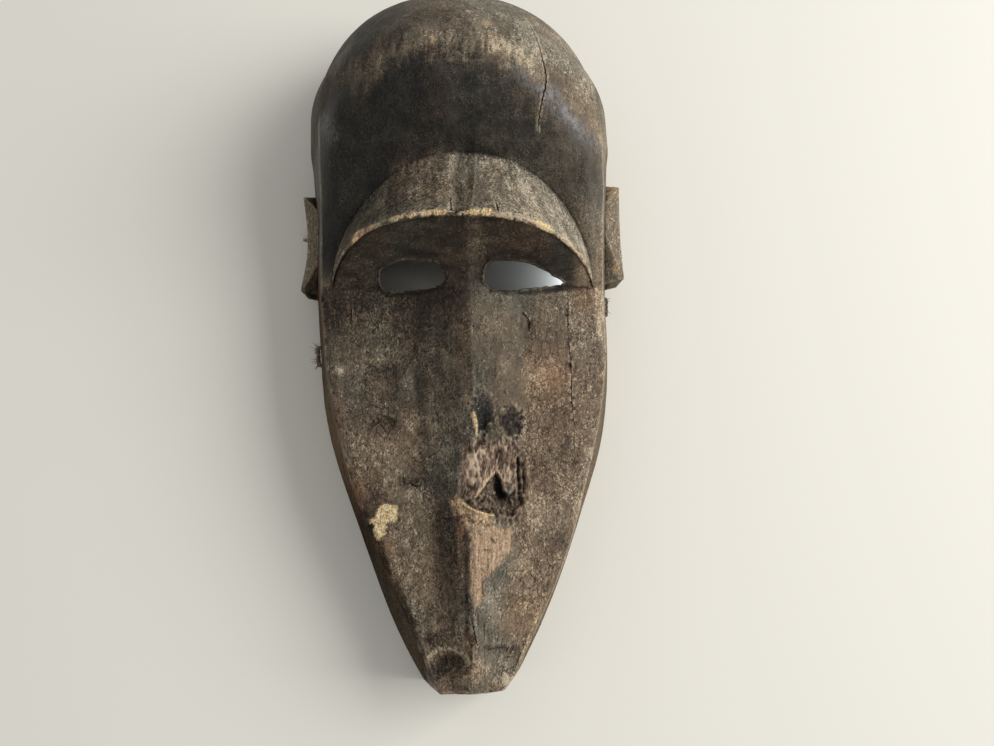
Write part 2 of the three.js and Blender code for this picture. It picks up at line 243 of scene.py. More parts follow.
HEAD_HEIGHT = block_high[2]
DOME_REACH = 94               # the dome beyond the head's highest section
DOME_Y = TOP_Y - DOME_REACH
ARCH = 2.7                    # the head's section, as a superellipse
DOME = 2.2                    # the same towards the back of the head
SKULL_X = 1.5                 # middle of the forehead
GROOVE_DEPTH, GROOVE_HALF = 2, 6


def arch_z(x, power=ARCH):
    return HEAD_HEIGHT * (1 - np.clip(np.abs(x) / HEAD_HALF, 0, 1) ** power) ** (1 / power)


def arch_x(z, power=ARCH):
    return HEAD_HALF * (1 - np.clip(z / HEAD_HEIGHT, 0, 1) ** power) ** (1 / power)


def arch_edge_y(x):
    return DOME_Y - 2 - 24 * (np.abs(x) / FACE_HALF) ** 2.6


# The carver's rows and columns
# The outside is one skin of rows across the block, each with the same columns: over the nose, the
# cheek and the temple to the front edge, and down the side wall to the rim, on both sides.

NOSE, CHEEK, TEMPLE, SIDE_WALL = range(4)


def half_columns(nose, cheek, temple, wall):
    """Strip and share across it for each column, from the ridge to the rim."""
    counts = {NOSE: nose, CHEEK: cheek, TEMPLE: temple, SIDE_WALL: wall}
    shares = [np.linspace(0, 1, count + 1)[1:] for count in counts.values()]
    strips = [np.full(len(share), strip) for strip, share in zip(counts, shares)]
    return np.concatenate([[NOSE], *strips]), np.concatenate([[0], *shares])


WALL_COLUMNS = 22
WALL_BULGE = 1.15             # curve of the side walls, from the front edge to the rim
EDGE_WORN = 2                 # how far the front edge is worn down
right_strip, right_share = half_columns(46, 36, 5, WALL_COLUMNS)
left_strip, left_share = half_columns(26, 34, 5, WALL_COLUMNS)
strip = np.concatenate([left_strip[:0:-1], right_strip])
share = np.concatenate([left_share[:0:-1], right_share])
side = np.concatenate([-np.ones(len(left_strip) - 1), np.ones(len(right_strip))])
on_wall = strip == SIDE_WALL
edge_wear = EDGE_WORN * np.where(on_wall, 1, np.where(strip == TEMPLE, share**1.5, 0))


def column_x(centre, nose, half):
    """Place across of each column, for a ridge at the centre with half a foot and half a face."""
    foot = centre + side * nose
    inner = side * half * VISOR_HALF / FACE_HALF
    face = np.where(strip == NOSE, mix(centre, foot, share), mix(foot, inner, share))
    beyond = mix(inner, side * half, np.where(strip == TEMPLE, share, 1))
    return np.where(strip >= TEMPLE, beyond, face)


def with_walls(x, y, z, rim_x, bulge, rim_y):
    """Takes the side wall's columns from the front edge down to the rim."""
    keep = (1 - share) ** bulge
    return np.stack([
        np.where(on_wall, mix(side * rim_x, x, keep), x),
        np.where(on_wall, mix(y, rim_y, share), y),
        np.where(on_wall, z * (1 - share), z),
    ], axis=1)


def muzzle(y_row):
    """A row of the long face. At the blunt end its front edge stands back a little from the rim."""
    half, ridge, nose = edge_half(y_row), nose_x(y_row), nose_half(y_row)
    x = column_x(ridge, nose, half)
    corner = 2.2 + np.where(x < 0, -0.5, 0.8) * np.abs(x / half) ** 3
    y = y_row + corner * (1 - np.clip((y_row - TIP_Y) / 12, 0, 1))
    z = face_z(x - ridge, y_row) - edge_wear
    return with_walls(x, y, z, rim_half(y_row), WALL_BULGE, y_row)


def head_x(centre):
    return column_x(centre, NOSE_HALF, FACE_HALF)


def head_walls(x, y, z):
    return with_walls(x, y, z, rim_half(y), mix(WALL_BULGE, ARCH, smooth((y - 55) / 75)), y)


def brow_lip(x):
    """Thickness of the brow's edge, which thins out where the brow dies away."""
    return np.where(np.abs(x) >= VISOR_HALF, 0, np.minimum(LIP, brow_edge_z(x) - temple_z(x)))


def under_brow(t):
    """A row of the brow's hollow underside, from the crease to its front edge."""
    x = head_x(mix(NOSE_X, BROW_X, t))
    y = mix(CREASE_Y, brow_edge_y(x) - brow_lip(x) * 0.5, t)
    nose = nose_height(CREASE_Y) * (1 - t) * roof(np.abs(x - NOSE_X) / mix(NOSE_HALF, 14, t))
    hollow = 4 * np.sin(np.pi * t) * (1 - across(x))
    z = mix(temple_z(x), brow_edge_z(x) - brow_lip(x), t) + nose - hollow
    return head_walls(x, y, z - edge_wear)


def brow_front(t):
    """A row of the brow's thin front edge."""
    x = head_x(BROW_X)
    lip = brow_lip(x) * (1 - t)
    bulge = 0.7 * np.sin(np.pi * t) * brow_lip(x) / LIP
    return head_walls(x, brow_edge_y(x) - lip * 0.5 - bulge, brow_edge_z(x) - lip - edge_wear)


def brow(t):
    """A row of the brow's top, back to the forehead."""
    centre = mix(BROW_X, SKULL_X, t)
    x = head_x(centre)
    y = mix(brow_edge_y(x), brow_back_y(x), t)
    sag = 3 * np.sin(np.pi * t) * (1 - across(x))
    groove = GROOVE_DEPTH * hump((x - centre) / GROOVE_HALF)
    return head_walls(x, y, mix(brow_edge_z(x), brow_back_z(x), t) - sag - groove - edge_wear)


def temple_rise(x, y):
    """Beside the brow the temples rise smoothly from the crease to the crown."""
    return mix(temple_z(x), arch_z(x), smooth((y - CREASE_Y) / (arch_edge_y(x) - CREASE_Y)))


def forehead(t):
    """A row of the forehead, which starts as a valley behind the brow and rises to the crown."""
    x = head_x(SKULL_X)
    y = mix(brow_back_y(x), arch_edge_y(x), t)
    middle = mix(brow_back_z(x), arch_z(x), mix(t, np.sin(np.pi * t / 2), 0.45))
    step = brow_back_z(x) - temple_rise(x, brow_back_y(x))
    temple = temple_rise(x, y) + step * (1 - t)
    rise = mix(middle, temple, smooth((across(x) - 0.85) / 0.15))
    groove = GROOVE_DEPTH * hump((x - SKULL_X) / GROOVE_HALF)
    return head_walls(x, y, rise - edge_wear * (1 - t) - groove * (1 - t) ** 3)


def head_section(power):
    """x and z of the head's arched section, at its full height."""
    x = head_x(SKULL_X)
    z = arch_z(x, power) * np.where(on_wall, 1 - share, 1)
    return np.where(on_wall, side * arch_x(z, power), x), z


def crown(t):
    """A row of the short straight stretch between the forehead and the dome."""
    x, z = head_section(ARCH)
    return np.stack([x, mix(arch_edge_y(head_x(SKULL_X)), DOME_Y, t), z], axis=1)


def dome(t):
    """The arched section turned down towards the rim, by up to a right angle."""
    x, reach = head_section(mix(ARCH, DOME, smooth(t * 3.5)))
    turn = t * np.pi / 2
    along = reach * np.sin(turn) * DOME_REACH / HEAD_HEIGHT
    return np.stack([x, DOME_Y + along, reach * np.cos(turn)], axis=1)


def shares_after(count):
    """Even steps up to 1, without the 0 that the rows before them already hold."""
    return np.linspace(0, 1, count + 1)[1:]


# The rows stand closest across the old damage, between these two places on the muzzle.
DAMAGE_LOW, DAMAGE_HIGH = -134, -50
muzzle_rows = np.concatenate([
    np.linspace(TIP_Y, DAMAGE_LOW, 58),
    np.linspace(DAMAGE_LOW, DAMAGE_HIGH, 118)[1:],
    np.linspace(DAMAGE_HIGH, CREASE_Y, 40)[1:],
])
ZONES = [
    (muzzle, muzzle_rows), (under_brow, shares_after(26)), (brow_front, shares_after(5)),
    (brow, shares_after(38)), (forehead, shares_after(30)), (crown, shares_after(4)),
    (dome, shares_after(62)),
]
outside = np.array([zone(row) for zone, rows in ZONES for row in rows])

# Beyond the brow's ends all of its rows meet in the muzzle's last one.
crease_row = len(muzzle_rows) - 1
brow_end = crease_row + sum(len(rows) for _, rows in ZONES[1:4])
beyond_brow = np.abs(outside[crease_row, :, 0]) >= VISOR_HALF
outside[crease_row + 1:brow_end + 1, beyond_brow] = outside[crease_row, beyond_brow]

# The muzzle's blunt end has a row for each column of its side walls.
face_columns = outside[0][~on_wall]
wall_levels = outside[0][strip == SIDE_WALL][-WALL_COLUMNS:]
end_rows = [face_columns]
for level, wall_point in zip(shares_after(WALL_COLUMNS), wall_levels):
    row = face_columns.copy()
    row[:, 0] *= wall_point[0] / edge_half(TIP_Y)
    row[:, 1] = mix(row[:, 1], TIP_Y, level)
    row[:, 2] *= 1 - level
    end_rows.append(row)
blunt_end = np.array(end_rows[::-1])


def leaning(points):
    """The points with the block's sway and tilt."""
    moved = np.array(points, float)
    moved[..., 0] += sway(moved[..., 1]) + tilt(moved[..., 1]) * moved[..., 2]
    return moved


class Skin:
    """Gathers faces over shared points, and leaves out those that have shrunk to a line."""

    def __init__(self):
        self.points, self.faces = [], []

    def sheet(self, grid):
        """Adds rows of points with a face in each square between them."""
        start = sum(len(p) for p in self.points)
        rows, columns = grid.shape[:2]
        self.points.append(grid.reshape(-1, 3))
        at = start + np.arange(rows * columns).reshape(rows, columns)
        corners = [at[:-1, :-1], at[:-1, 1:], at[1:, 1:], at[1:, :-1]]
        self.faces += np.stack(corners, axis=-1).reshape(-1, 4).tolist()

    def face(self, points):
        """Adds one face round the points."""
        start = sum(len(p) for p in self.points)
        self.points.append(np.array(points))
        self.faces.append(list(range(start, start + len(points))))

    def piece(self, name, material=0):
        """Makes the object. Points that round to the same micrometre become one."""
        points = np.concatenate(self.points)
        micrometres = np.round(points * 1000).astype(np.int64)
        _, first, same = np.unique(micrometres, axis=0, return_index=True, return_inverse=True)
        same = same.reshape(-1)
        faces = []
        for face in self.faces:
            ring = [same[corner] for corner in face]
            ring = [a for a, b in zip(ring, ring[1:] + ring[:1]) if a != b]
            if len(set(ring)) == len(ring) > 2:
                faces.append(ring)
        mesh = bpy.data.meshes.new(name)
        mesh.from_pydata((points[first] * MM).tolist(), [], faces)
        mesh.polygons.foreach_set("material_index", np.full(len(faces), material, np.int32))
        piece = bpy.data.objects.new(name, mesh)
        bpy.context.scene.collection.objects.link(piece)
        return piece


def shell(grid, name, material=0, front=None):
    """A dome-like solid over a flat back: its rows run from one side of the back to the other, and
    the last one lies in the back's plane. front holds the rows of the flat end, if it has them."""
    skin = Skin()
    skin.sheet(grid)
    near = grid[0][[0, -1]] if front is None else front[0]
    for row in grid[1:]:
        skin.face([row[0], row[-1], *near[::-1]])
        near = row[[0, -1]]
    if front is None:
        skin.face(grid[0][::-1])
    else:
        skin.sheet(front)
    skin.face(grid[-1])
    return skin.piece(name, material)


def tube(rings, name, material=0):
    """A solid of closed rings of points, with a flat face at each end."""
    closed = np.concatenate([rings, rings[:, :1]], axis=1)
    skin = Skin()
    skin.sheet(closed)
    skin.face(rings[0][::-1])
    skin.face(rings[-1])
    piece = skin.piece(name, material)
    mesh = bmesh.new()
    mesh.from_mesh(piece.data)
    bmesh.ops.recalc_face_normals(mesh, faces=mesh.faces)
    mesh.to_mesh(piece.data)
    mesh.free()
    return piece


def carve(block, tool, operation="DIFFERENCE"):
    """Cuts the tool out of the block, or joins it on, and takes the tool away."""
    step = block.modifiers.new("carve", "BOOLEAN")
    step.operation, step.solver, step.object = operation, "MANIFOLD", tool
    carved = block.evaluated_get(bpy.context.evaluated_depsgraph_get())
    mesh = bpy.data.meshes.new_from_object(carved)
    block.modifiers.clear()
    block.data = mesh
    bpy.data.objects.remove(tool)


OUTSIDE, HOLLOW, HOLES, CRACKS = range(4)
mask = shell(leaning(outside), "carved_mask", OUTSIDE, leaning(blunt_end))

# The hollow
# The back is gouged out to a shell of even thickness, with no nose and no brow inside, so that it
# fits over a dancer's face. The cut is left rough from the adze.

WALL = 12                     # thickness of the carved shell
MUZZLE_WALL = 14              # thickness of the muzzle's blunt end
RIM_OVERCUT = 1               # how far the cut reaches below the rim


def inside_z(y):
    """Height of the hollow along its middle."""
    below = WALL + 1
    if y < CREASE_Y:
        return cheek_z(y) - below
    temple = mix(cheek_z(CREASE_Y) - below, TEMPLE_Z, np.clip((y - CREASE_Y) / 80, 0, 1))
    return mix(temple, HEAD_HEIGHT - below, smooth((y - 82) / (DOME_Y - 82)))


def inside_ring(y, power):
    """The hollow's section at y, an arch from one side of the rim to the other."""
    turn = np.linspace(0, np.pi, 65)
    cos, sin = np.cos(turn), np.abs(np.sin(turn))
    x = -(rim_half(y) - WALL) * np.sign(cos) * np.abs(cos) ** (2 / power)
    return np.stack([x, np.full_like(x, y), inside_z(y) * sin ** (2 / power)], axis=1)


def inside_dome(t):
    """The last section, turned down towards the rim by up to a right angle."""
    ring = inside_ring(DOME_Y, mix(ARCH, DOME, smooth(t * 3.5)))
    turn = t * np.pi / 2
    reach = (DOME_REACH - WALL) / inside_z(DOME_Y)
    along = DOME_Y + ring[:, 2] * np.sin(turn) * reach
    return np.stack([ring[:, 0], along, ring[:, 2] * np.cos(turn)], axis=1)


inside_rows = [inside_ring(y, mix(4, ARCH, smooth((y - 60) / 50)))
               for y in np.linspace(TIP_Y + MUZZLE_WALL, DOME_Y, 100)]
inside = leaning(np.array(inside_rows + [inside_dome(t) for t in shares_after(32)]))
inside[..., 2] -= RIM_OVERCUT
carve(mask, shell(inside, "hollow", HOLLOW))

# The ears
# Each ear is a thick lug left standing on the side wall, with a slightly hollow outer face. At each
# end a facet is cut off its front, beside the head.

EAR_REACH = (block_high[0] - block_low[0]) / 2
# low and high are an ear's two ends in y, and reach is how far its outer face stands from the
# middle. dip is how hollow that face is, slant how far it is set on askew, and facets are the shares
# of the ear's length at which the lower facet ends and the upper one starts.
EARS = [
    {"side": -1, "low": 20, "high": 88, "reach": EAR_REACH - 1, "dip": 2.5, "slant": 4,
     "facets": (0.26, 0.78)},
    {"side": 1, "low": 26, "high": 97, "reach": EAR_REACH + 1, "dip": 1, "slant": 7,
     "facets": (0.48, 0.72)},
]
EAR_ROOT, EAR_FOOT = 91, 93   # where an ear starts inside the wall, and where its front leaves it
EAR_BACK_Z, EAR_FRONT_Z, EAR_CORNER_Z = 9, 35, 28
EAR_STAND = 11                # how far the ears stand out from the head
EAR_FACET_DROP = 11           # how far the facets fall to the ears' ends
EAR_POINTS = [8, 9, 8, 7, 5]  # points along the back, the outer face, the front's two parts, the root


def between(corners, counts):
    """Points along a closed outline, with the given number from each corner to the next."""
    following = np.roll(corners, -1, axis=0)
    return np.concatenate([
        mix(a, b, np.linspace(0, 1, count, endpoint=False)[:, None])
        for a, b, count in zip(corners, following, counts)])


def ear_ring(ear, t):
    """The ear's outline across, at the share t of its length."""
    y = mix(ear["low"], ear["high"], t)
    out = ear["reach"] - ear["dip"] * math.sin(math.pi * t)
    outer_y = y - ear["slant"] * (t - 0.5)
    low, high = ear["facets"]
    cut = max((low - t) / low, (t - high) / (1 - high))
    fold = min(max(0.08, cut), 0.92)
    corners = np.array([
        (EAR_ROOT, y, EAR_BACK_Z),
        (out - 1.5, outer_y, EAR_BACK_Z),
        (out, outer_y, EAR_CORNER_Z),
        (mix(EAR_FOOT, out, fold), mix(y, outer_y, fold), mix(EAR_FRONT_Z, EAR_CORNER_Z, fold)),
        (EAR_ROOT, y, EAR_FRONT_Z - EAR_FACET_DROP * max(0, cut)),
    ])
    return between(corners, EAR_POINTS) * (ear["side"], 1, 1)


def with_ends(rings, steps=6):
    """Adds smaller and smaller rings at both ends, so that the end faces can be worn too."""
    sizes = np.linspace(0.04, 1, steps, endpoint=False)
    first, last = rings[0], rings[-1]
    start = [mix(first.mean(axis=0), first, size) for size in sizes]
    finish = [mix(last.mean(axis=0), last, size) for size in sizes[::-1]]
    return np.array([*start, *rings, *finish])


for ear in EARS:
    rings = [ear_ring(ear, t) for t in np.linspace(0, 1, 42)]
    carve(mask, tube(with_ends(rings), "ear", OUTSIDE), "UNION")

# The eye holes and the cord holes
# Two eye holes are cut slanting up through the underside of the brow. Small holes in the side
# walls and in the left ear were drilled with a hot iron, for the cords that held the costume.

EYE_Z = 80                    # height at which the outlines below hold
EYE_LEAN = -0.34              # slant of the carver's tool
EYE_CUT = (130, 40)           # heights between which it passes
LEFT_EYE = [
    (-48, 7), (-43, 5.2), (-22, 5.8), (-13, 8.6), (-10.2, 13), (-12, 18.5), (-17, 22.5), (-34, 23.6),
    (-46.5, 19.5), (-49, 14)]
RIGHT_EYE = [
    (12, 9.5), (16, 5.8), (24, 4.8), (43, 6.6), (56, 8), (58, 10.8), (46, 18.2), (37, 22.2),
    (27, 23.6), (14.5, 22.2), (11.5, 14)]


def curve_through(points, steps, closed=False):
    """A smooth curve through the points, with the given number of steps from each to the next."""
    points = np.array(points, float)
    if closed:
        points = np.concatenate([points[-1:], points, points[:2]])
    else:
        beyond = 2 * points[:1] - points[1:2], 2 * points[-1:] - points[-2:-1]
        points = np.concatenate([beyond[0], points, beyond[1]])
    t = np.linspace(0, 1, steps, endpoint=False)[:, None]
    parts = [
        0.5 * (2 * b + (c - a) * t + (2 * a - 5 * b + 4 * c - d) * t**2 + (3 * b - a - 3 * c + d) * t**3)
        for a, b, c, d in zip(points, points[1:], points[2:], points[3:])]
    curve = np.concatenate(parts)
    return curve if closed else np.concatenate([curve, points[-2:-1]])


def eye_cut(outline, lean_x, seed):
    """The cutting tool of an eye hole: its outline, a little ragged, at every height."""
    edge = curve_through(outline, 6, closed=True)
    ragged = np.random.default_rng(seed).normal(0, 0.22, edge.shape)
    rings = [np.column_stack([
        edge + ragged + np.array([lean_x, EYE_LEAN]) * (z - EYE_Z), np.full(len(edge), z)])
        for z in np.linspace(*EYE_CUT, 31)]
    return tube(np.array(rings), "eye", HOLES)


carve(mask, eye_cut(LEFT_EYE, 0.05, 1))
carve(mask, eye_cut(RIGHT_EYE, -0.09, 2))

CORD = 3                      # diameter of the fibre cord
HOLE = CORD + 1.4             # and of the holes that it was pulled through
STITCH_Z = 14                 # height of the holes in the side walls
STITCHES = {"left": (-1, -24, -12), "right": (1, 8, 20)}    # side, and the y of its two holes
DRILL_IN, DRILL_OUT = WALL + 12, 8    # how far the drill reaches on both sides of the surface
TUFT_Y, TUFT_Z = 58, 22       # place of the hole in the left ear's outer face
TUFT_HOLE = (-92, -120)       # x of the drill's two ends there


def wall_x(side, y):
    """Where the side wall's surface lies across, at the height of the stitches."""
    keep = (STITCH_Z / edge_z(y)) ** WALL_BULGE
    return sway(y) + tilt(y) * STITCH_Z + side * mix(rim_half(y), edge_half(y), keep)


def drill(start, end):
    """A round hole from start to end, which both lie at the same y and z."""
    turn = np.linspace(0, 2 * np.pi, 18, endpoint=False)
    ring = np.column_stack([0 * turn, np.cos(turn), np.sin(turn)]) * HOLE / 2
    return tube(np.array([ring + start, ring + end]), "drill", HOLES)


for side_of, *hole_places in STITCHES.values():
    for y in hole_places:
        start_x = wall_x(side_of, y) - side_of * DRILL_IN
        end_x = wall_x(side_of, y) + side_of * DRILL_OUT
        carve(mask, drill((start_x, y, STITCH_Z), (end_x, y, STITCH_Z)))
carve(mask, drill(*((end_x, TUFT_Y, TUFT_Z) for end_x in TUFT_HOLE)))

# Drying splits
# As the block dried it split along its grain: a long hairline over the right of the crown, and
# short ones on the cheeks, the brow, the muzzle's ridge, the side walls and the back of the head.

SPLIT_LIFT = 1.2              # how far the cutting wedge stands out of the wood
SPLITS = [
    # width, depth, then the points it runs through
    (0.8, 2.6, [(37.9, 166, 104), (42.3, 147.4, 113), (44.9, 133, 117), (46.8, 123, 117), (47, 115, 115),
                (45.1, 107, 112), (43.6, 99, 108), (43.2, 92, 104)]),
    (0.9, 2.5, [(-66.4, 0, 68), (-66, -5, 68), (-66.3, -11, 68)]),
    (0.9, 2.5, [(34.6, -6.5, 74), (37.6, -11, 73.6), (37.9, -17.5, 73)]),
    (0.45, 1.6, [(61.9, 5, 70), (61.6, -5, 70), (61.1, -16, 70)]),
    (0.35, 1.2, [(61.2, -19, 70), (62.3, -40, 68), (62, -58, 67), (63.2, -72, 66)]),
    (0.6, 1.8, [(63, -76, 65), (62.5, -81, 65), (62.9, -86, 65)]),
    (0.8, 2.0, [(-33, -101.5, 66), (-30.4, -104.6, 66), (-27, -105.5, 66)]),
    (1.1, 1.6, [(13, -134.8, 70), (14.5, -136.4, 70), (16, -138, 69)]),
    (0.9, 1.2, [(9.2, -141, 70.5), (11.2, -141.4, 70), (13.2, -141, 69.6)]),
    (1.0, 2.5, [(-6.5, 36, 119), (-6.2, 43, 117), (-5.4, 50, 115)]),
    (1.0, 2.5, [(18.5, 37, 118), (18.8, 43, 117), (18.2, 48, 116)]),
    (0.9, 2.0, [(2.5, -178, 66), (3.4, -186, 65), (4.5, -192, 63)]),
    (1.0, 3.0, [(-30, 205, 40), (-31, 214, 25), (-30.5, 220, 10)]),
    (1.2, 3.0, [(97, 150, 12), (96, 128, 14), (97, 112, 12)]),
    (1.0, 3.0, [(-94, -60, 10), (-95, -40, 11), (-97, -22, 9)]),
]


def split(width, depth, route):
    """A wedge along the route on the surface, widest in its middle and a little wavy."""
    line = curve_through(route, 6)
    rings = []
    for i, point in enumerate(line):
        _, place, normal, _ = mask.closest_point_on_mesh(Vector(point * MM))
        place, normal = np.array(place) / MM, np.array(normal)
        ahead = line[min(i + 1, len(line) - 1)] - line[max(i - 1, 0)]
        sideways = np.cross(ahead, normal)
        sideways /= np.linalg.norm(sideways)
        open_here = 0.12 + 0.88 * math.sin(math.pi * (i + 0.5) / len(line)) ** 0.6
        half = width / 2 * open_here * (1 + SPLIT_LIFT / depth)
        wander = 0.18 * math.sin(i * 2.4) * sideways
        rings.append([
            place + wander + normal * SPLIT_LIFT + sideways * half,
            place + wander + normal * SPLIT_LIFT - sideways * half,
            place + wander - normal * depth * open_here])
    return tube(np.array(rings), "split", CRACKS)


for width, depth, route in SPLITS:
    carve(mask, split(width, depth, route))

# Wear, rot and handling
# The surface keeps shallow marks of the adze and a raised grain. Rot and insects have eaten a
# pocket into the right slope of the nose, the brow's edge is chipped, and edges are rubbed bare.

LATTICE_SIZE = 48
LATTICE = np.random.default_rng(11).random((LATTICE_SIZE, LATTICE_SIZE, LATTICE_SIZE))


def noise(at, size, seed=0):
    """Smooth noise from -1 to 1 at each point, with swells of the given size along each axis."""
    place = at / np.array(size) + 7.31 * seed
    cell = np.floor(place).astype(int)
    f = place - cell
    f = f * f * (3 - 2 * f)
    total = np.zeros(len(at))
    for corner in np.ndindex(2, 2, 2):
        weight = np.prod(np.where(corner, f, 1 - f), axis=1)
        i, j, k = ((cell + corner) % LATTICE_SIZE).T
        total += weight * LATTICE[i, j, k]
    return 2 * total - 1


def rough(at, size, seed=0, octaves=3):
    """Noise with finer and finer swells on top of the coarse ones."""
    return sum(noise(at, np.array(size) / 2**n, seed + n) / 2**n for n in range(octaves))


def scallops(at, size, seed):
    """Adze marks: 1 in the ridges between the shallow strokes, 0 at the bottom of each."""
    place = at / np.array(size)
    cell = np.floor(place).astype(int)
    nearest = np.full(len(at), 9.0)
    for step in np.ndindex(3, 3, 3):
        near = cell + np.array(step) - 1
        i, j, k = ((near + seed) % (LATTICE_SIZE - 1)).T
        centre = near + np.column_stack([LATTICE[i, j, k], LATTICE[j, k, i], LATTICE[k, i, j]])
        nearest = np.minimum(nearest, ((place - centre) ** 2).sum(axis=1))
    return np.clip(nearest, 0, 1)


def from_segment(x, y, ax, ay, bx, by):
    """Distance in plan from the straight stretch between two points."""
    t = np.clip(((x - ax) * (bx - ax) + (y - ay) * (by - ay)) / ((bx - ax)**2 + (by - ay)**2), 0, 1)
    return np.hypot(x - mix(ax, bx, t), y - mix(ay, by, t))


def near_line(route, x, y):
    """Distance in plan from a line through the points given."""
    return np.minimum.reduce([from_segment(x, y, *a, *b) for a, b in zip(route, route[1:])])


def depth_in(outline, x, y):
    """How far in from the outline each point is, negative outside it."""
    corners = np.array(outline, float)
    inside, nearest = np.zeros(len(x), bool), np.full(len(x), np.inf)
    for (ax, ay), (bx, by) in zip(corners, np.roll(corners, -1, axis=0)):
        level = (y - ay) / (by - ay + 1e-9)
        inside ^= ((ay > y) != (by > y)) & (x < mix(ax, bx, level))
        nearest = np.minimum(nearest, from_segment(x, y, ax, ay, bx, by))
    return np.where(inside, nearest, -nearest)


def spot(x, y, half_x, half_y):
    """1 at the middle of an oval, falling softly to 0 at its edge."""
    return smooth(1 - np.hypot(x / half_x, y / half_y))


def read(collection, name, width, kind=np.float64):
    values = np.empty(len(collection) * width, kind)
    collection.foreach_get(name, values)
    return values.reshape(-1, width) if width > 1 else values


mesh = mask.data
mesh.shade_smooth()
mesh.set_sharp_from_angle(angle=math.radians(42))
at = read(mesh.vertices, "co", 3) / MM
normal = read(mesh.vertex_normals, "vector", 3)
face_kinds = np.repeat(read(mesh.polygons, "material_index", 1, np.int32),
                       read(mesh.polygons, "loop_total", 1, np.int32))
face_corners = read(mesh.loops, "vertex_index", 1, np.int32)


def touches(kind):
    """The points that lie on a face of the kind given."""
    found = np.zeros(len(at), bool)
    found[face_corners[face_kinds == kind]] = True
    return found


outer, hollowed, bored = (touches(kind) for kind in (OUTSIDE, HOLLOW, HOLES))
x, y, z = at.T
from_middle = np.abs(x - sway(y))
off_axis = x - sway(y) - tilt(y) * z
from_ridge = off_axis - nose_x(y)
within_brow = np.abs(x) < VISOR_HALF
on_face = outer & (y < CREASE_Y + 1) & (z > edge_z(y) - 6) & (from_middle < edge_half(y) + 1)
skull = smooth((y - 84 + 22 * across(x)) / 6) * outer

# A place a little beside each point, so that the outlines drawn below come out ragged.
shaky = at + 0.5 * np.column_stack([noise(at, (2.2, 3.5, 3), seed) for seed in (1, 2, 3)])
shaky += 0.25 * np.column_stack([noise(at, (0.9, 1.6, 1), seed) for seed in (11, 12, 13)])
sx, sy = shaky[:, 0], shaky[:, 1]


def on_line(route, reach, core=1.0):
    """1 along a ragged line on the face, falling softly to 0 at its reach."""
    return smooth(core - near_line(route, sx, sy) / reach) * on_face


# The pocket in the nose, in plan, with the tooth of wood that hangs into it from above. It is
# deepest in its middle, and shallow at its right but for two grooves.
POCKET = [
    (-3, -114.5), (5.5, -112.7), (11, -105.5), (16.9, -98.7), (19.6, -103), (21, -108.5), (24, -111.5),
    (27.2, -109), (28, -103), (28.4, -96), (28.2, -88), (31.6, -88), (33, -97), (33.8, -105),
    (32.8, -113), (30.4, -119), (26, -123), (15.3, -122.4), (6.7, -120.5)]
POCKET_GROOVES = [(29.3, 11), (32.6, 8)]    # x and half the length of each
GROOVE_Y = -102
DEEPEST = 9                                 # how far its middle lies below the rest of it

lower_right = smooth((sx - 10) / 12) * smooth((-108 - sy) / 8)
crumbled = 1.5 * noise(at, (2.6, 2.6, 3), 26) + noise(at, (1.3, 1.3, 3), 27)
pocket_depth = (depth_in(POCKET, sx, sy) + lower_right * crumbled) / mix(1.3, 2.6, lower_right)
pocket = smooth(pocket_depth + 0.35) * on_face
deep = spot(x - 19.3, y + 108, 7, 13)
for groove_x, half in POCKET_GROOVES:
    groove = near_line([(groove_x, GROOVE_Y + half), (groove_x + 0.6, GROOVE_Y - half)], sx, sy)
    deep = np.maximum(deep, 0.4 * smooth(1.3 - groove / 1.1))
shallow_side = smooth((x - 26) / 2) * smooth((y + 116) / 6)
pocket_floor = mix(4.2, 1.2, shallow_side) + DEEPEST * deep + 1.3 * rough(at, (3, 3, 3), 4)

# Above the pocket are a burnt hollow and a pit, and torn, rotten wood runs down from them.
ROTTEN = [
    (-2, -84), (4, -77), (12, -81), (20, -78), (28, -82), (35, -92), (37, -104), (34, -114),
    (29, -127), (17, -127), (14, -120), (4, -116), (-3.5, -112), (-3, -98)]

burnt = 1.65 - 1.5 * np.hypot((sx - 9) / 8, (sy + 66) / 14)
soot = smooth(burnt + 0.25 * noise(at, (1.6, 2.2, 2), 73)) * on_face
soot_depth = 0.9 + 3.2 * spot(x - 9.4, y + 71, 6.5, 13) + 0.3 * rough(at, (3, 5, 3), 5)
pitting = 1.9 - 1.5 * np.hypot((sx - 26) / 6.8, (sy + 70.5) / 9)
pit = smooth(pitting + 0.3 * noise(at, (1.8, 2, 2), 74)) * on_face
pit_depth = 2.2 - 0.6 * rough(at, (2.6, 2.6, 3), 6)
rotten = smooth(depth_in(ROTTEN, sx, sy) / 3 + 0.4 + 0.8 * noise(at, (2, 6, 3), 24)) * on_face
rotten = rotten * (1 - pocket) * smooth((6 * noise(at, (1.8, 9, 3), 75) - y - 76) / 9)
fibres = noise(shaky, (1.9, 4.2, 3), 21) + 0.8 * noise(shaky, (1.2, 2.2, 2), 22)
from_splinter = near_line([(4.4, -66.5), (5.2, -70), (5.6, -74), (6.4, -79)], sx, sy)
splinter = smooth(1.3 - from_splinter / np.interp(y, [-79, -72, -67], [0.6, 1.2, 1.5])) * on_face

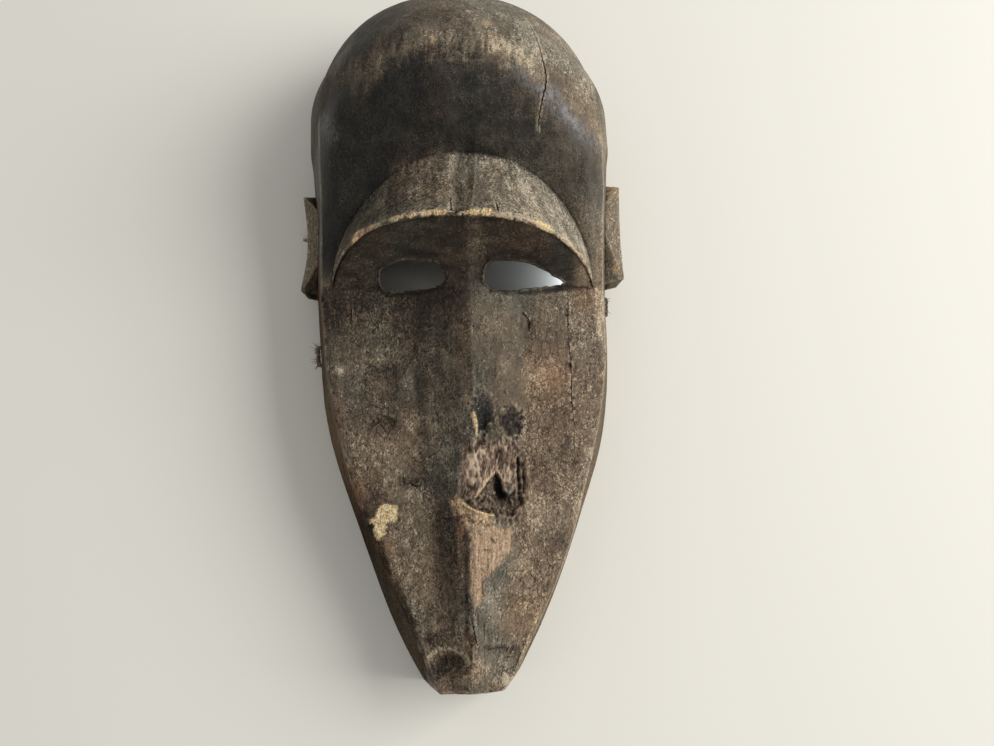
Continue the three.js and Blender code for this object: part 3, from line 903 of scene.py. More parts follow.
# Below the pocket the dark skin has peeled off, with a curl of wood left along its upper edge. A
# patch of cream paint is left low on the left cheek.
BARE = [
    (-1, -125.5), (7, -126.5), (15.5, -128), (26, -129.7), (26.3, -136), (25.8, -142.3),
    (19.9, -147), (16.2, -150.5), (13.3, -155), (8, -158.4), (9, -168.5), (4, -171), (1.8, -168),
    (1.4, -140), (1, -131)]
PEEL = [(-3, -114.7), (1.5, -118.5), (6.7, -120.5), (11, -121.8), (15.3, -122.4)]
PATCH = [
    (-45.5, -114.4), (-39, -116.3), (-38.4, -121.6), (-40.8, -125.1), (-43, -124), (-44.8, -127.1),
    (-46.3, -132), (-49.9, -135.1), (-52.1, -133), (-53.2, -129.1), (-51.7, -126.2), (-55, -125.1),
    (-55, -123), (-51.7, -122.4), (-50.9, -118.9), (-48.4, -115.7)]

torn_edge = depth_in(BARE, sx + 1.6 * noise(at, (3, 4, 3), 25), sy) / 0.7
bare = smooth(torn_edge + 0.5 - 0.5 * smooth(noise(at, (2.2, 3.5, 3), 76) * 2)) * on_face
bare *= 1 - pocket
bare_depth = 0.5 + 0.25 * rough(at, (2, 3, 2), 23)
peel = smooth(1 - near_line(PEEL, x, y)) * on_face
flaked_x, flaked_y = x + 0.9 * noise(at, (0.9, 0.9, 3), 9), y + 0.6 * noise(at, (0.8, 0.8, 3), 80)
patch = smooth(depth_in(PATCH, flaked_x, flaked_y) / 0.6 + 0.5) * on_face

# sunk is how far all of this has sunk below the carved face.
sunk = pocket * pocket_floor + soot * soot_depth + pit * pit_depth + rotten * (1.2 + 1.4 * fibres)
sunk += bare * bare_depth - 0.8 * peel + 0.25 * patch - (0.8 + soot * soot_depth * 0.7) * splinter

# The left nostril is a soft bowl with a rim over it, the right one a step down.
in_bowl = np.hypot((sx + 11.8) / 10, (sy + 202) / np.where(sy > -202, 6.6, 8.5))
left_nostril = smooth(1.12 - in_bowl) * on_face
left_rim = smooth(1 - np.abs(in_bowl - 1.12) / 0.22) * smooth((y + 204) / 5) * on_face
step_y = -194 - 0.09 * (sx - 8) + 0.5 * noise(at, (4, 4, 4), 7)
right_nostril = smooth((step_y - sy) / 1.1) * smooth((y + 211) / 12)
right_nostril = right_nostril * smooth(1.3 - np.abs(sx - 18.5) / 10.5) * on_face
sunk += 4.2 * left_nostril + 2.0 * right_nostril - 0.6 * left_rim

# Scoops that the adze left on the cheeks: x, y, how far each reaches across and along, and its
# depth. A low ridge is left between those on the left.
SCOOPS = [
    (-44.5, -47, 9, 12, 1.1), (-46.5, -72, 12, 9, 0.8), (-38, -94, 11, 13, 0.9),
    (-35.5, -113, 8, 7, 0.8), (-62, -30, 12, 18, 0.6), (48, -60, 14, 20, 0.6), (44, -118, 10, 16, 0.6)]
SCOOP_RIDGE = [(-47, -64.5), (-41.3, -65.6), (-33.9, -71.5), (-24.3, -83.1), (-22, -96)]

for scoop_x, scoop_y, reach_x, reach_y, depth in SCOOPS:
    sunk += depth * hump(np.hypot((sx - scoop_x) / reach_x, (sy - scoop_y) / reach_y)) * on_face
sunk -= 0.7 * on_line(SCOOP_RIDGE, 2.4)

# The right front edge is cut off in a facet just below the brow.
FACET = [(78.5, 16), (78.8, -18), (84, -26), (95, -26), (95, 16)]
facet = smooth(depth_in(FACET, x, y) / 1.5 + 0.4) * on_face
sunk += facet * np.clip((x - 78) * 0.35, 0, 2.2)

# Marks of the tools and of time over the whole surface. The skull is rubbed smooth, and the rest
# is dry, grained, dented and eaten into small holes.
dry = np.clip(1 - 0.8 * skull, 0, 1)
eaten = smooth((rough(at, (2.6, 4, 2.6), 34) - 0.35) / 0.4) * dry
dented = smooth((rough(at, (6, 8, 6), 38) - 0.3) / 0.5) * dry
grained = 0.06 * noise(at, (1.7, 12, 2.2), 32) + 0.07 * noise(at, (3.4, 24, 4), 33)
relief = 0.3 * noise(at, (34, 52, 34), 31) * outer
relief += -0.16 * (1 - scallops(at, (15, 26, 15), 5)) * outer * (1 - 0.5 * skull)
relief += dry * grained * outer
relief -= (0.22 * eaten + 0.3 * dented) * outer
relief += 0.1 * rough(at, (4.5, 7, 4.5), 39) * outer * dry
relief += 0.035 * skull * noise(at, (1.7, 9, 2.2), 35)
hewn = 1.1 * scallops(at, (17, 34, 17), 9) + 0.15 * noise(at, (2, 20, 2), 36) - 0.5
relief += (hollowed & ~outer) * hewn + (bored & ~outer) * 0.25 * noise(at, (3, 3, 3), 37)

# Places on the ears: ear_t runs from 0 to 1 along each ear, and ear_s from 0 beside the head to
# about 1 at its outer face. The left ear's front is a little hollow.
to_front_edge = np.clip(z / edge_z(y), 0, 1) ** WALL_BULGE
beyond_wall = np.abs(off_axis) - mix(rim_half(y), edge_half(y), to_front_edge)
on_ear = smooth((beyond_wall - 0.8) / 1.2) * (y > 16) * (y < 100) * (z < 37) * outer
ear_low, ear_high = (np.where(x < 0, *(ear[end] for ear in EARS)) for end in ("low", "high"))
ear_foot, ear_top = (np.where(x < 0, *(ear["facets"][end] for ear in EARS)) for end in (0, 1))
ear_t = (y - ear_low) / (ear_high - ear_low)
ear_s = (from_middle - EAR_FOOT) / EAR_STAND
ear_fold = np.maximum((ear_foot - ear_t) / ear_foot, (ear_t - ear_top) / (1 - ear_top))
ear_facet = on_ear * smooth((ear_fold - ear_s) * 6 + 0.2) * (z > 12)
relief -= 1.4 * on_ear * (x < 0) * (z > 24) * hump((ear_t - 0.5) / 0.42) * hump((ear_s - 0.45) / 0.7)

# Small chips all along the brow's edge, two notches in it, and the rough cut of its underside.
lip_x = np.clip(x, -VISOR_HALF + 1, VISOR_HALF - 1)
lip_y = brow_edge_y(lip_x)
lip_z = brow_edge_z(lip_x)
lip_gap = np.hypot(y - lip_y, z - lip_z)
at_lip = smooth(1.35 - lip_gap / 3.4) * outer * (np.abs(x) < VISOR_HALF - 1)
chips = smooth((noise(at, (1.9, 60, 60), 41) + 0.6 * noise(at, (0.9, 60, 60), 42)) * 1.6)
notch = np.exp(-((x + 6.3) / 2.6) ** 2) + 0.7 * np.exp(-((x - 37.2) / 1.1) ** 2)
underside = outer * (y > CREASE_Y) * (y < lip_y - 1) * (lip_z - z > LIP) * within_brow
relief += underside * (0.35 * rough(at, (6, 7, 6), 43) - 0.35 * (1 - scallops(at, (9, 9, 9), 6)))
relief -= at_lip * (0.75 * chips + 1.6 * notch)

moved = at + normal * relief[:, None]
moved[:, 2] -= sunk
on_rim = z < 0.05
moved[on_rim] = at[on_rim]
moved[:, 2] = np.maximum(moved[:, 2], 0)
mesh.vertices.foreach_set("co", (moved * MM).ravel())
mesh.update()

# The wood's colours
# Smoke, sacrifice and hands have darkened the wood to a mottled grey brown, black and shiny on the
# forehead. Dust has settled in the grain, and edges, chips and rotten places show the pale wood.
# Light and shade are also painted on: the side away from the light, the brow's underside, hollows
# and the rims of holes are painted darker, and the lit right side, its edges and a bluish sheen on
# the forehead paler.


def outward_bend(mesh):
    """How sharply the surface bends outwards at each point, in turns per millimetre."""
    place = read(mesh.vertices, "co", 3) / MM
    facing = read(mesh.vertex_normals, "vector", 3)
    ends = read(mesh.edges, "vertices", 2, np.int32)
    step = place[ends[:, 1]] - place[ends[:, 0]]
    turned = facing[ends[:, 1]] - facing[ends[:, 0]]
    bend = (step * turned).sum(axis=1) / np.maximum((step**2).sum(axis=1), 0.15)
    total = np.bincount(ends.ravel(), np.repeat(bend, 2), len(place))
    return total / np.maximum(np.bincount(ends.ravel(), minlength=len(place)), 1)


def along(values, places):
    """Reads a list of (place, value) pairs at the places given."""
    known = np.array(values, float)
    return np.interp(places, known[:, 0], known[:, 1])


def spots(places):
    """Ovals in plan, added up: each is its strength, its x and y, and its reach across and along."""
    return sum(
        strength * spot(x - spot_x, y - spot_y, reach_x, reach_y)
        for strength, spot_x, spot_y, reach_x, reach_y in places)


# Where the parts of the face are, each from 0 to 1, with soft and frayed borders.
bends = outward_bend(mesh)
# lit_side is 0 on the left and 1 on the right, where the light comes from. Below it paints the left darker
# and the right paler, as painted shade and painted light.
lit_side = smooth((x + 25) / 60)
nose_foot = nose_half(y)
frayed_ridge = from_ridge + 1.2 * noise(at, (5, 9, 5), 50)
nose_left = on_face * smooth(0.5 - from_ridge / 1.6)
nose_left = nose_left * smooth((nose_foot + 3 * frayed_ridge - 2 * from_ridge) / 7 + 0.5)
nose_right = on_face * smooth(0.5 + from_ridge / 1.6) * smooth((nose_foot - from_ridge) / 9 + 0.5)
cheek_left = on_face * smooth(0.5 - (from_ridge + nose_foot) / 6)
cheek_right = on_face * smooth(0.5 + (from_ridge - nose_foot) / 9)
brow_line = np.where(within_brow, brow_back_y(lip_x), CREASE_Y + 10)
brow_line_reach = np.where(within_brow, mix(6, 15, smooth((x - 10) / 50)), 30)
behind = smooth((y - brow_line + 2.5 * noise(at, (7, 7, 30), 77)) / brow_line_reach + 0.5) * outer
on_brow = outer * (y > lip_y - 1.2) * (z > temple_z(lip_x) + 2) * (1 - behind) * (z > 66)
under = outer * (y > CREASE_Y - 2) * (y < lip_y + 1) * smooth((lip_z - z - 0.6) / 1.2) * within_brow
wall = outer * ~on_face * smooth((70 - z) / 24) * smooth((np.abs(x) - 20) / 5) * smooth((160 - y) / 60)
beyond_temple = smooth((from_middle - 61) / 9) * outer
beside_brow = beyond_temple * (y > CREASE_Y - 14) * smooth((68 - y) / 18) * (z > 50) * (x > 0)

# The dark forehead ends in a ragged, patchy line below the crown, and stops short of the walls. It
# shines, and where it turns down at both sides a bluish sheen is painted on, a painted reflection of
# the light there, where the wood is also made glossier.
CROWN_LINE = [
    (-90, 96), (-76, 112), (-66, 116), (-52, 114), (-46, 122), (-8, 127), (5, 127), (20, 123),
    (32, 120), (47, 118), (62, 110), (74, 98), (88, 84)]
SHEEN_RIGHT = [(30, 124), (44, 115), (60, 104), (78, 92)]
SHEEN_LEFT = [(-87, 118), (-80, 105), (-75, 93)]

crown_line = along(CROWN_LINE, x)
ragged = 6 * noise(at, (8, 12, 9), 52) + 4 * noise(at, (2.2, 10, 3), 53) + 3 * noise(at, (2.5, 3, 3), 51)
below_crown = smooth((crown_line - y + ragged) / 13 + 0.45) * smooth((z - 34) / 22)
shine = behind * below_crown * (1 - 0.7 * beside_brow)
crown = behind * (1 - below_crown) * (1 - beside_brow)
from_fringe = (crown_line + 11 - y + ragged * 0.5) / 12
fringe_of_crown = behind * np.exp(-from_fringe**2) * smooth((z - 60) / 30)
painted_sheen_and_gloss = shine * smooth(1 - near_line(SHEEN_RIGHT, x, y + 2 * noise(at, (9, 9, 9), 49)) / 9)
painted_sheen_and_gloss += 0.7 * shine * smooth(1 - near_line(SHEEN_LEFT, x, y) / 7)
painted_sheen_and_gloss *= 0.45 + 0.7 * smooth(0.5 + noise(at, (2, 7, 3), 48))

# Along the brow's edge: how much fresh wood shows, how high its band is in millimetres, and how
# grey it is. One big chip stands right of the middle.
LIP_GOLD = [
    (-80, 0), (-66, 0.1), (-63, 1), (-54, 1), (-51, 0.5), (-37, 0.4), (-35, 1), (-9, 1), (-8, 0),
    (-4.5, 0), (-3.5, 1), (15, 1), (18, 0.2), (24, 0.1), (34.5, 0.1), (35, 0), (36.5, 1), (49, 1),
    (51, 0.35), (68, 0.25), (80, 0)]
LIP_HIGH = [
    (-80, 0.4), (-66, 0.8), (-63, 2.4), (-54, 2.0), (-51, 0.8), (-37, 0.7), (-34, 2.0), (-9, 1.8),
    (-3.5, 1.6), (0, 2.4), (15, 2.2), (18, 0.9), (34.5, 1.0), (36.5, 4.8), (47, 4.4), (50, 1.4),
    (66, 1.6), (80, 0.4)]
LIP_PALE = [
    (-80, 0.5), (-64, 0.5), (-50, 0.35), (-36, 0.3), (-9, 0.2), (-8, 0), (-4, 0), (16, 0.4), (19, 1),
    (24.4, 1), (25, 0), (25.6, 1), (34, 1), (35, 0), (37, 0.3), (50, 1), (76, 1), (80, 0.5)]

chunky = noise(at, (3.2, 60, 60), 54) + 0.7 * noise(at, (1.3, 50, 50), 70)
chip = smooth(7 - np.abs(x - 42.5))
band = lip_y + along(LIP_HIGH, x) * (1.2 + 0.8 * chunky) + 2.5 * chip - y
lip_low = smooth((1.9 + 1.1 * chunky - (lip_z - z)) / 0.6)
lip_band = smooth(band / 0.7 + 0.5) * smooth(1.4 - lip_gap / 5) * lip_low * outer
lip_band = lip_band * (np.abs(x) < VISOR_HALF - 0.5)
gaps = smooth((noise(at, (1.7, 50, 50), 55) + 0.7 * noise(at, (1, 1.3, 1.3), 83) + 0.45) * 3)
gaps = np.maximum(gaps, chip)

# Places on the face that are lighter or darker than the wood round them: x, y, how far they reach
# across and along, and by how much. Some are painted shade: below the brow over the nose's right
# slope, and inside the left nostril's bowl on the side away from the light.
SHADES = [
    (-46, -40, 13, 8, -0.2), (-42, -54, 11, 13, -0.1), (-46, -69, 14, 10, -0.2), (-34, -70, 26, 8, 0.08),
    (-50, -85, 26, 22, 0.08), (-35, -110, 13, 8, 0.16), (-30, -104, 10, 5, -0.16), (-72, -38, 5, 5, 0.3),
    (-52, -120, 22, 19, -0.14), (-40, -150, 18, 40, 0.06), (48, -43, 15, 18, 0.16), (36, -44, 11, 14, 0.08),
    (64, -20, 20, 40, 0.06), (40, -118, 22, 26, 0.1), (30, -150, 16, 16, 0.08), (52, -84, 20, 34, -0.06),
    (12, -40, 18, 34, -0.14), (17, -70, 12, 17, -0.2), (10, -80, 9, 8, -0.15), (71, -87, 6, 6, 0.24),
    (-4, -88, 8, 20, -0.1), (-11, -138, 13, 50, -0.17), (10, -186, 12, 13, -0.06), (-20, -60, 8, 40, 0.08),
    (-40, -22, 28, 22, -0.08), (22, -213, 9, 6, 0.3), (-6, -200, 6, 8, -0.14), (-17, -206, 10, 8, -0.26),
    (-8, -213, 8, 5, -0.14), (-1.5, -200, 4, 6, -0.18), (2, -212, 6, 6, 0.1), (-20, -190, 7, 8, -0.22),
    (-24, -212, 8, 6, -0.2), (-34, -38, 5, 26, 0.04), (67, -122, 10, 40, 0.2), (58, -112, 9, 24, 0.14),
    (17, -203, 13, 12, 0.07), (-45, -147, 10, 11, -0.12), (46, -128, 14, 14, 0.08), (12, -168, 7, 20, 0.16),
    (-9, -180, 8, 12, -0.14), (-22, -177, 9, 10, -0.12), (-4, -211, 6, 5, 0.14)]
RIDGE_SIDE = [(-0.5, -131), (-0.3, -150), (-0.8, -178), (0, -188)]
NOSE_VALLEY = [(-27, -8), (-25.5, -45), (-23.5, -80), (-24, -100)]

# The level is how light the wood is, from 0 to 1. It starts as the mottled face, with painted shade
# on the nose's left slope, away from the light, a painted shadow along the crease under the brow,
# deepest on the left, and painted shade along the left front edge. A line beside the ridge is
# darker too.
streaks = noise(at, (1.6, 26, 26), 58) + 0.6 * noise(at, (0.9, 15, 15), 59)
level = 0.5 + 0.09 * noise(at, (22, 34, 22), 56) + 0.07 * noise(at, (7, 10, 7), 57)
level += 0.05 * rough(at, (3, 4.5, 3), 46) - 0.08 * nose_left + 0.05 * cheek_right
crease_shadow = smooth((y + 34) / 40) * on_face
level -= crease_shadow * mix(0.3, 0.02, lit_side)
for shade_x, shade_y, reach_x, reach_y, amount in SHADES:
    level += 1.3 * amount * spot(sx - shade_x, sy - shade_y, reach_x, reach_y) * on_face
# Along the left front edge, away from the light, the face is painted darker as painted shade.
inward = edge_half(y) - np.abs(off_axis)
edge_width = 4.5 * hump((y + 160) / 50) + 3 * noise(at, (3, 5, 4), 45)
shaded_left_edge = on_face * (x < 0) * smooth((edge_width - inward) / 4 + 0.3)
level -= 0.3 * shaded_left_edge + 0.2 * on_line(RIDGE_SIDE, 2)

# Over the face come the brow, streaked like a fan, its underside, painted dark as the shade under
# the brow, the crown and the dark forehead. Brow, crown and forehead are painted paler towards the
# lit right and darker towards the left, as painted light and shade, and the brow is paler just left
# of its groove and darker in it.
fan_x = x * (1 + 0.006 * (y - 40)) + 0.15 * y
fan = noise(np.column_stack([fan_x, y, 0 * y]), (2.6, 26, 9), 44)
groove_light = np.exp(-((x + 9) / 4.5) ** 2) - 1.5 * np.exp(-((x + 3) / 3) ** 2)
brow_level = 0.38 + 0.34 * smooth((x + 55) / 75) - 0.11 * hump((x - 2) / 34)
brow_level += 0.06 * streaks + 0.12 * fan + 0.16 * groove_light + 0.1 * rough(at, (9, 9, 9), 72)
under_brow_shade = 0.26 - 0.05 * hump((x - 4) / 30) + 0.15 * spot(x - 6, 0 * y, 9, 1)
under_brow_shade += 0.1 * noise(at, (14, 5, 4), 60) + 0.08 * noise(at, (6, 2.5, 2), 78)
crown_level = 0.31 + 0.31 * smooth((x + 55) / 85)
crown_level += 0.12 * rough(at, (12, 12, 9), 61) + 0.06 * noise(at, (3, 5, 3), 67)
fringe_level = 0.1 + 0.25 * noise(at, (1.5, 9, 4), 62) + 0.18 * noise(at, (13, 9, 9), 66)
mottled = rough(at, (9, 7, 8), 63) + 0.8 * noise(at, (2.5, 5, 3), 71)
shine_level = 0.06 + 0.31 * smooth((x + 50) / 125) + mix(0.05, 0.1, smooth((x + 70) / 60)) * mottled
level = mix(level, brow_level, on_brow)
level = mix(level, under_brow_shade, under)
level = mix(level, crown_level, crown)
level += fringe_of_crown * smooth((70 - np.abs(x + 8)) / 40) * fringe_level
level = mix(level, shine_level, shine)
# The forehead is painted paler near its right edge, as painted light where it turns towards the light, and
# a line along the nose's left foot is darker.
level += 0.1 * shine * smooth((x - 58) / 20) * smooth((96 - y) / 24) - 0.09 * on_line(NOSE_VALLEY, 5)

# Beside the face lie the right temple, the walls and the ears. WALL_LEVEL is how light the left
# wall is, from the muzzle's end to the back of the head.
WALL_LEVEL = [
    (-221, 0.36), (-185, 0.34), (-150, 0.27), (-128, 0.2), (-115, 0.3), (-95, 0.4), (-80, 0.45),
    (-50, 0.42), (-30, 0.38), (16, 0.38), (200, 0.45)]

level = mix(level, 0.57 + 0.09 * streaks, 0.85 * beside_brow * (1 - on_brow))
level = mix(level, mix(along(WALL_LEVEL, y), 0.54, lit_side) + 0.05 * streaks, wall)
level -= 0.13 * beyond_temple * (x > 0) * spot(0 * x, y - 74, 1, 24) * (1 - on_brow)
level = mix(level, np.where(x < 0, 0.6, 0.66) + 0.06 * rough(at, (2.5, 14, 6), 68), on_ear)
level -= np.where(x < 0, 0.3, 0.08) * ear_facet + 0.2 * on_ear * (y < ear_low + 1.5)
# The facet is paler. Where the surface bends outwards it is painted paler, as painted light on ridges, and
# where it bends inwards darker, as painted shade in hollows.
level += facet * (0.17 + 0.12 * noise(at, (3, 6, 3), 84)) + 0.14 * np.clip(bends / 0.3, -1, 0.7) * outer

# The rims of the eye holes are painted dark as shade, darkest along their lower edges, the step
# over the right nostril gets a painted shadow, and a slit in the ridge beside it is dark. Edges that
# hands rub are worn pale, paler still on the lit right side and on the left nostril's rim as painted
# highlight, and torn ones show ochre wood.
NOSTRIL_LEDGE_SHADOW = [(8, -194), (18, -194.6), (28, -195.6)]
RIDGE_SLIT = [(-0.5, -184), (1.5, -189), (3, -193)]
TOOTH_EDGE = [(4.5, -113.4), (10.4, -106), (16.4, -98.6)]
POCKET_LIP = [(-5.5, -116), (-3.4, -120), (3, -124.6), (13, -125)]

shaded_eye_rims = [smooth(1.2 - np.abs(depth_in(outline, sx, sy)) / 1.7) for outline in (LEFT_EYE, RIGHT_EYE)]
shaded_eye_rim = np.maximum(*shaded_eye_rims) * outer
slit = on_line(RIDGE_SLIT, 2.2)
level -= np.where(y < 13, 0.35, 0.1) * shaded_eye_rim
level += 0.1 * left_rim - 0.35 * on_line(NOSTRIL_LEDGE_SHADOW, 1.6) - 0.2 * slit
rubbed = (1 - shaded_eye_rim) * (1 - shaded_left_edge) * (1 - 0.6 * facet) * smooth((bends - 0.08) / 0.25) * outer
front_line = outer * smooth(1 - np.abs(inward + 0.2) / 1.3) * (1 - shaded_left_edge)
front_line = front_line * ((y < CREASE_Y + 100) & (z > 40))
notch_rim = on_line(TOOTH_EDGE, 1.4) * (1 - pocket)
lower_lip = on_line(POCKET_LIP, 4.6, 1.25) * (1 - pocket)
lower_lip *= smooth((14.5 - x + 3 * noise(at, (3, 3, 3), 86)) / 6 + 0.5)
lower_lip *= smooth(1.15 + 1.3 * noise(at, (2.2, 2.6, 2.2), 85))

# What the finish below reads at each point, each from 0 to 1: warm wood is brown rather than grey,
# coarse wood gritty, worn wood rubbed pale, with painted highlight on lit edges, gold is fresh wood
# in chips, ochre older torn wood, and dull wood has no gloss. Crevices get painted shade where the
# surface bends inwards, and the forehead a painted bluish sheen that also makes it glossier.
warm = 0.4 + 0.5 * noise(at, (18, 26, 18), 64) + 0.12 * noise(at, (6, 9, 6), 81)
warm += 0.25 * cheek_right - 0.35 * nose_right - 0.4 * on_brow - 0.2 * crown - 0.3 * shine
warm += 0.15 * beside_brow + 0.12 * fringe_of_crown - 0.4 * on_ear * (x < 0)
warm += 0.3 * wall * (1 - lit_side) * smooth((y + 150) / 40)
coarse = 0.4 + 0.45 * on_brow + 0.25 * nose_left + 0.3 * beside_brow + 0.5 * noise(at, (12, 15, 12), 65)
coarse += 0.35 * cheek_right + 0.25 * cheek_left - 0.3 * nose_right - 0.45 * shine - 0.3 * under
coarse -= 0.35 * wall + 0.5 * on_ear + 0.5 * shaded_left_edge
flecks = spots([
    (0.9, 48, -44, 13, 17), (0.6, 42, -122, 18, 22), (0.45, 62, -85, 16, 24), (0.4, -55, -85, 20, 30),
    (0.4, -62, -15, 20, 14), (0.8, 4, -206, 9, 16)])
crackle = spots([(0.9, -46, -69, 14, 12), (0.7, -46, -38, 14, 10), (0.6, -28, -100, 14, 12)])
dry_cheeks = cheek_left + cheek_right + 0.4 * under
crackle += 0.5 * smooth(0.5 + noise(at, (16, 20, 16), 69) * 1.5) * dry_cheeks
# Worn edges are painted paler on the lit right side, and the left nostril's rim paler, as painted
# highlight.
worn = rubbed * (0.2 + 0.45 * lit_side) * (1 - 0.7 * crease_shadow)
worn += front_line * (0.4 + 0.25 * lit_side + 0.3 * noise(at, (5, 9, 5), 82))
worn += lip_band * along(LIP_PALE, x) * gaps + 0.5 * left_rim
gold = 1.2 * lip_band * along(LIP_GOLD, x) * gaps + 0.35 * splinter + peel + 0.55 * notch_rim
gold += spots([(0.7, -16, 138, 1.6, 5), (0.5, 14.5, 151, 6, 3)])
gold += 0.6 * spot(x - 34.7, y - 126, 8, 6) * (streaks > 0.1)
gold += 0.8 * spot(ear_t - 0.14, ear_s - 0.72, 0.09, 0.24) * on_ear * (x > 0)
ochre = lower_lip + 0.9 * spot(x - 4, y + 205, 7, 14) * smooth(0.5 + noise(at, (1.6, 2, 2), 79))
ochre += 0.6 * on_ear * (ear_t > 0.86) * (x > 0)
grey = 0.8 * spot(x - 24.4, y + 110, 4, 6) + 0.15 * spot(sx - 8, sy + 129.6, 8, 4)
pale_fleck = 0.8 * smooth(2 - 2 * np.hypot(x - 16, y + 110) / 1.2) * pocket
redness = spots([
    (0.6, 54, -42, 18, 24), (0.9, -74, -70, 9, 30), (0.8, -62, -108, 8, 16), (0.4, -44, -138, 9, 8),
    (0.8, -3, -130, 5, 20)])
redness += 1.2 * slit + 0.1 * shaded_left_edge + 2.4 * spot(x + 57, 0 * y, 9, 1) * lip_band

fields = {
    "level": level,
    "warm": warm,
    "coarse": np.maximum(coarse, 0.05),
    "flecks": flecks * outer,
    "crackle": np.clip(crackle, 0, 1) * outer,
    "worn": worn,
    # Where the surface bends inwards it is painted dark, as shade in the crevices.
    "crevice_shade": smooth((-bends - 0.05) / 0.25) * outer,
    "gold": gold,
    "bare": bare + 0.5 * lower_lip,
    "ochre": ochre,
    "rotten": rotten * (1 - splinter) * (1 - lower_lip) * (1 - 0.35 * lower_right),
    "torn": 0.5 + 0.35 * fibres + 0.4 * spot(x - 4, y + 95, 10, 14),
    "grey": grey * on_face,
    # The deepest part of the pocket is painted black with the soot, as painted shade.
    "soot": 0.85 * soot * (1 - splinter) + 0.9 * pocket * np.clip(deep * 1.6, 0, 1) + 0.8 * pit,
    "pitted": 0.8 * pit + pocket * (1 - 0.45 * shallow_side),
    "cream": patch + 0.6 * splinter + 0.6 * lip_band * chip + pale_fleck,
    "shine": shine,
    "dull": wall + shaded_left_edge,
    "painted_sheen_and_gloss": painted_sheen_and_gloss,
    "redness": np.clip(redness, 0, 1) * outer * (1 - 0.8 * wall),
}
for name, values in fields.items():
    layer = mesh.attributes.new(name, "FLOAT", "POINT")
    layer.data.foreach_set("value", np.clip(values, 0, 1).astype(np.float32))

# The colours, as they look on a screen. A run of colours gives each with the value of the grain at
# which it stands.
COOL_SKIN = [
    (0.0, (20, 20, 17)), (0.25, (54, 51, 44)), (0.5, (95, 89, 77)), (0.75, (136, 127, 112)),
    (1.0, (198, 188, 168))]
BROWN_SKIN = [
    (0.0, (26, 20, 17)), (0.25, (63, 50, 41)), (0.5, (107, 88, 70)), (0.75, (149, 126, 102)),
    (1.0, (208, 186, 154))]
FRESH_WOOD = [
    (0.36, (92, 72, 58)), (0.45, (150, 126, 103)), (0.54, (182, 156, 130)), (0.63, (216, 196, 168))]
OCHRE_WOOD = [
    (0.38, (88, 64, 46)), (0.46, (160, 126, 94)), (0.53, (200, 168, 130)), (0.62, (244, 224, 192))]
TORN_WOOD = [
    (0.36, (26, 21, 17)), (0.44, (84, 67, 55)), (0.51, (146, 122, 104)), (0.59, (204, 182, 158))]
GOLDEN_WOOD = [
    (0.3, (104, 76, 50)), (0.42, (196, 156, 104)), (0.52, (234, 208, 158)), (0.68, (250, 240, 214))]
CRUMBLY_WOOD = [(0.34, (30, 25, 20)), (0.48, (84, 72, 60)), (0.62, (144, 126, 107))]
CREAM_PAINT = [(0.38, (138, 106, 70)), (0.48, (204, 178, 130)), (0.6, (248, 234, 196))]
# The bluish colour is a painted sheen, the light's reflection on the shiny forehead.
PAINTED_SHEEN_BLUE, GREY_DUST, RED_WOOD = (142, 141, 146), (138, 136, 128), (146, 94, 64)
# The rubbed pale also serves as painted highlight on lit edges.
FLECK_PALE, RUBBED_AND_HIGHLIT_PALE = (204, 190, 162), (192, 176, 150)
# The soot black also paints shade in the pocket's depth, and the crevice dark is painted shade in hollows.
CRACK_DARK, SOOT_AND_SHADE_BLACK, CREVICE_SHADE_DARK = (34, 29, 25), (26, 28, 33), (28, 23, 19)


def tone(shade):
    """A colour as it looks on a screen, in the renderer's linear values."""
    return (*(((c / 255 + 0.055) / 1.055) ** 2.4 for c in shade), 1)


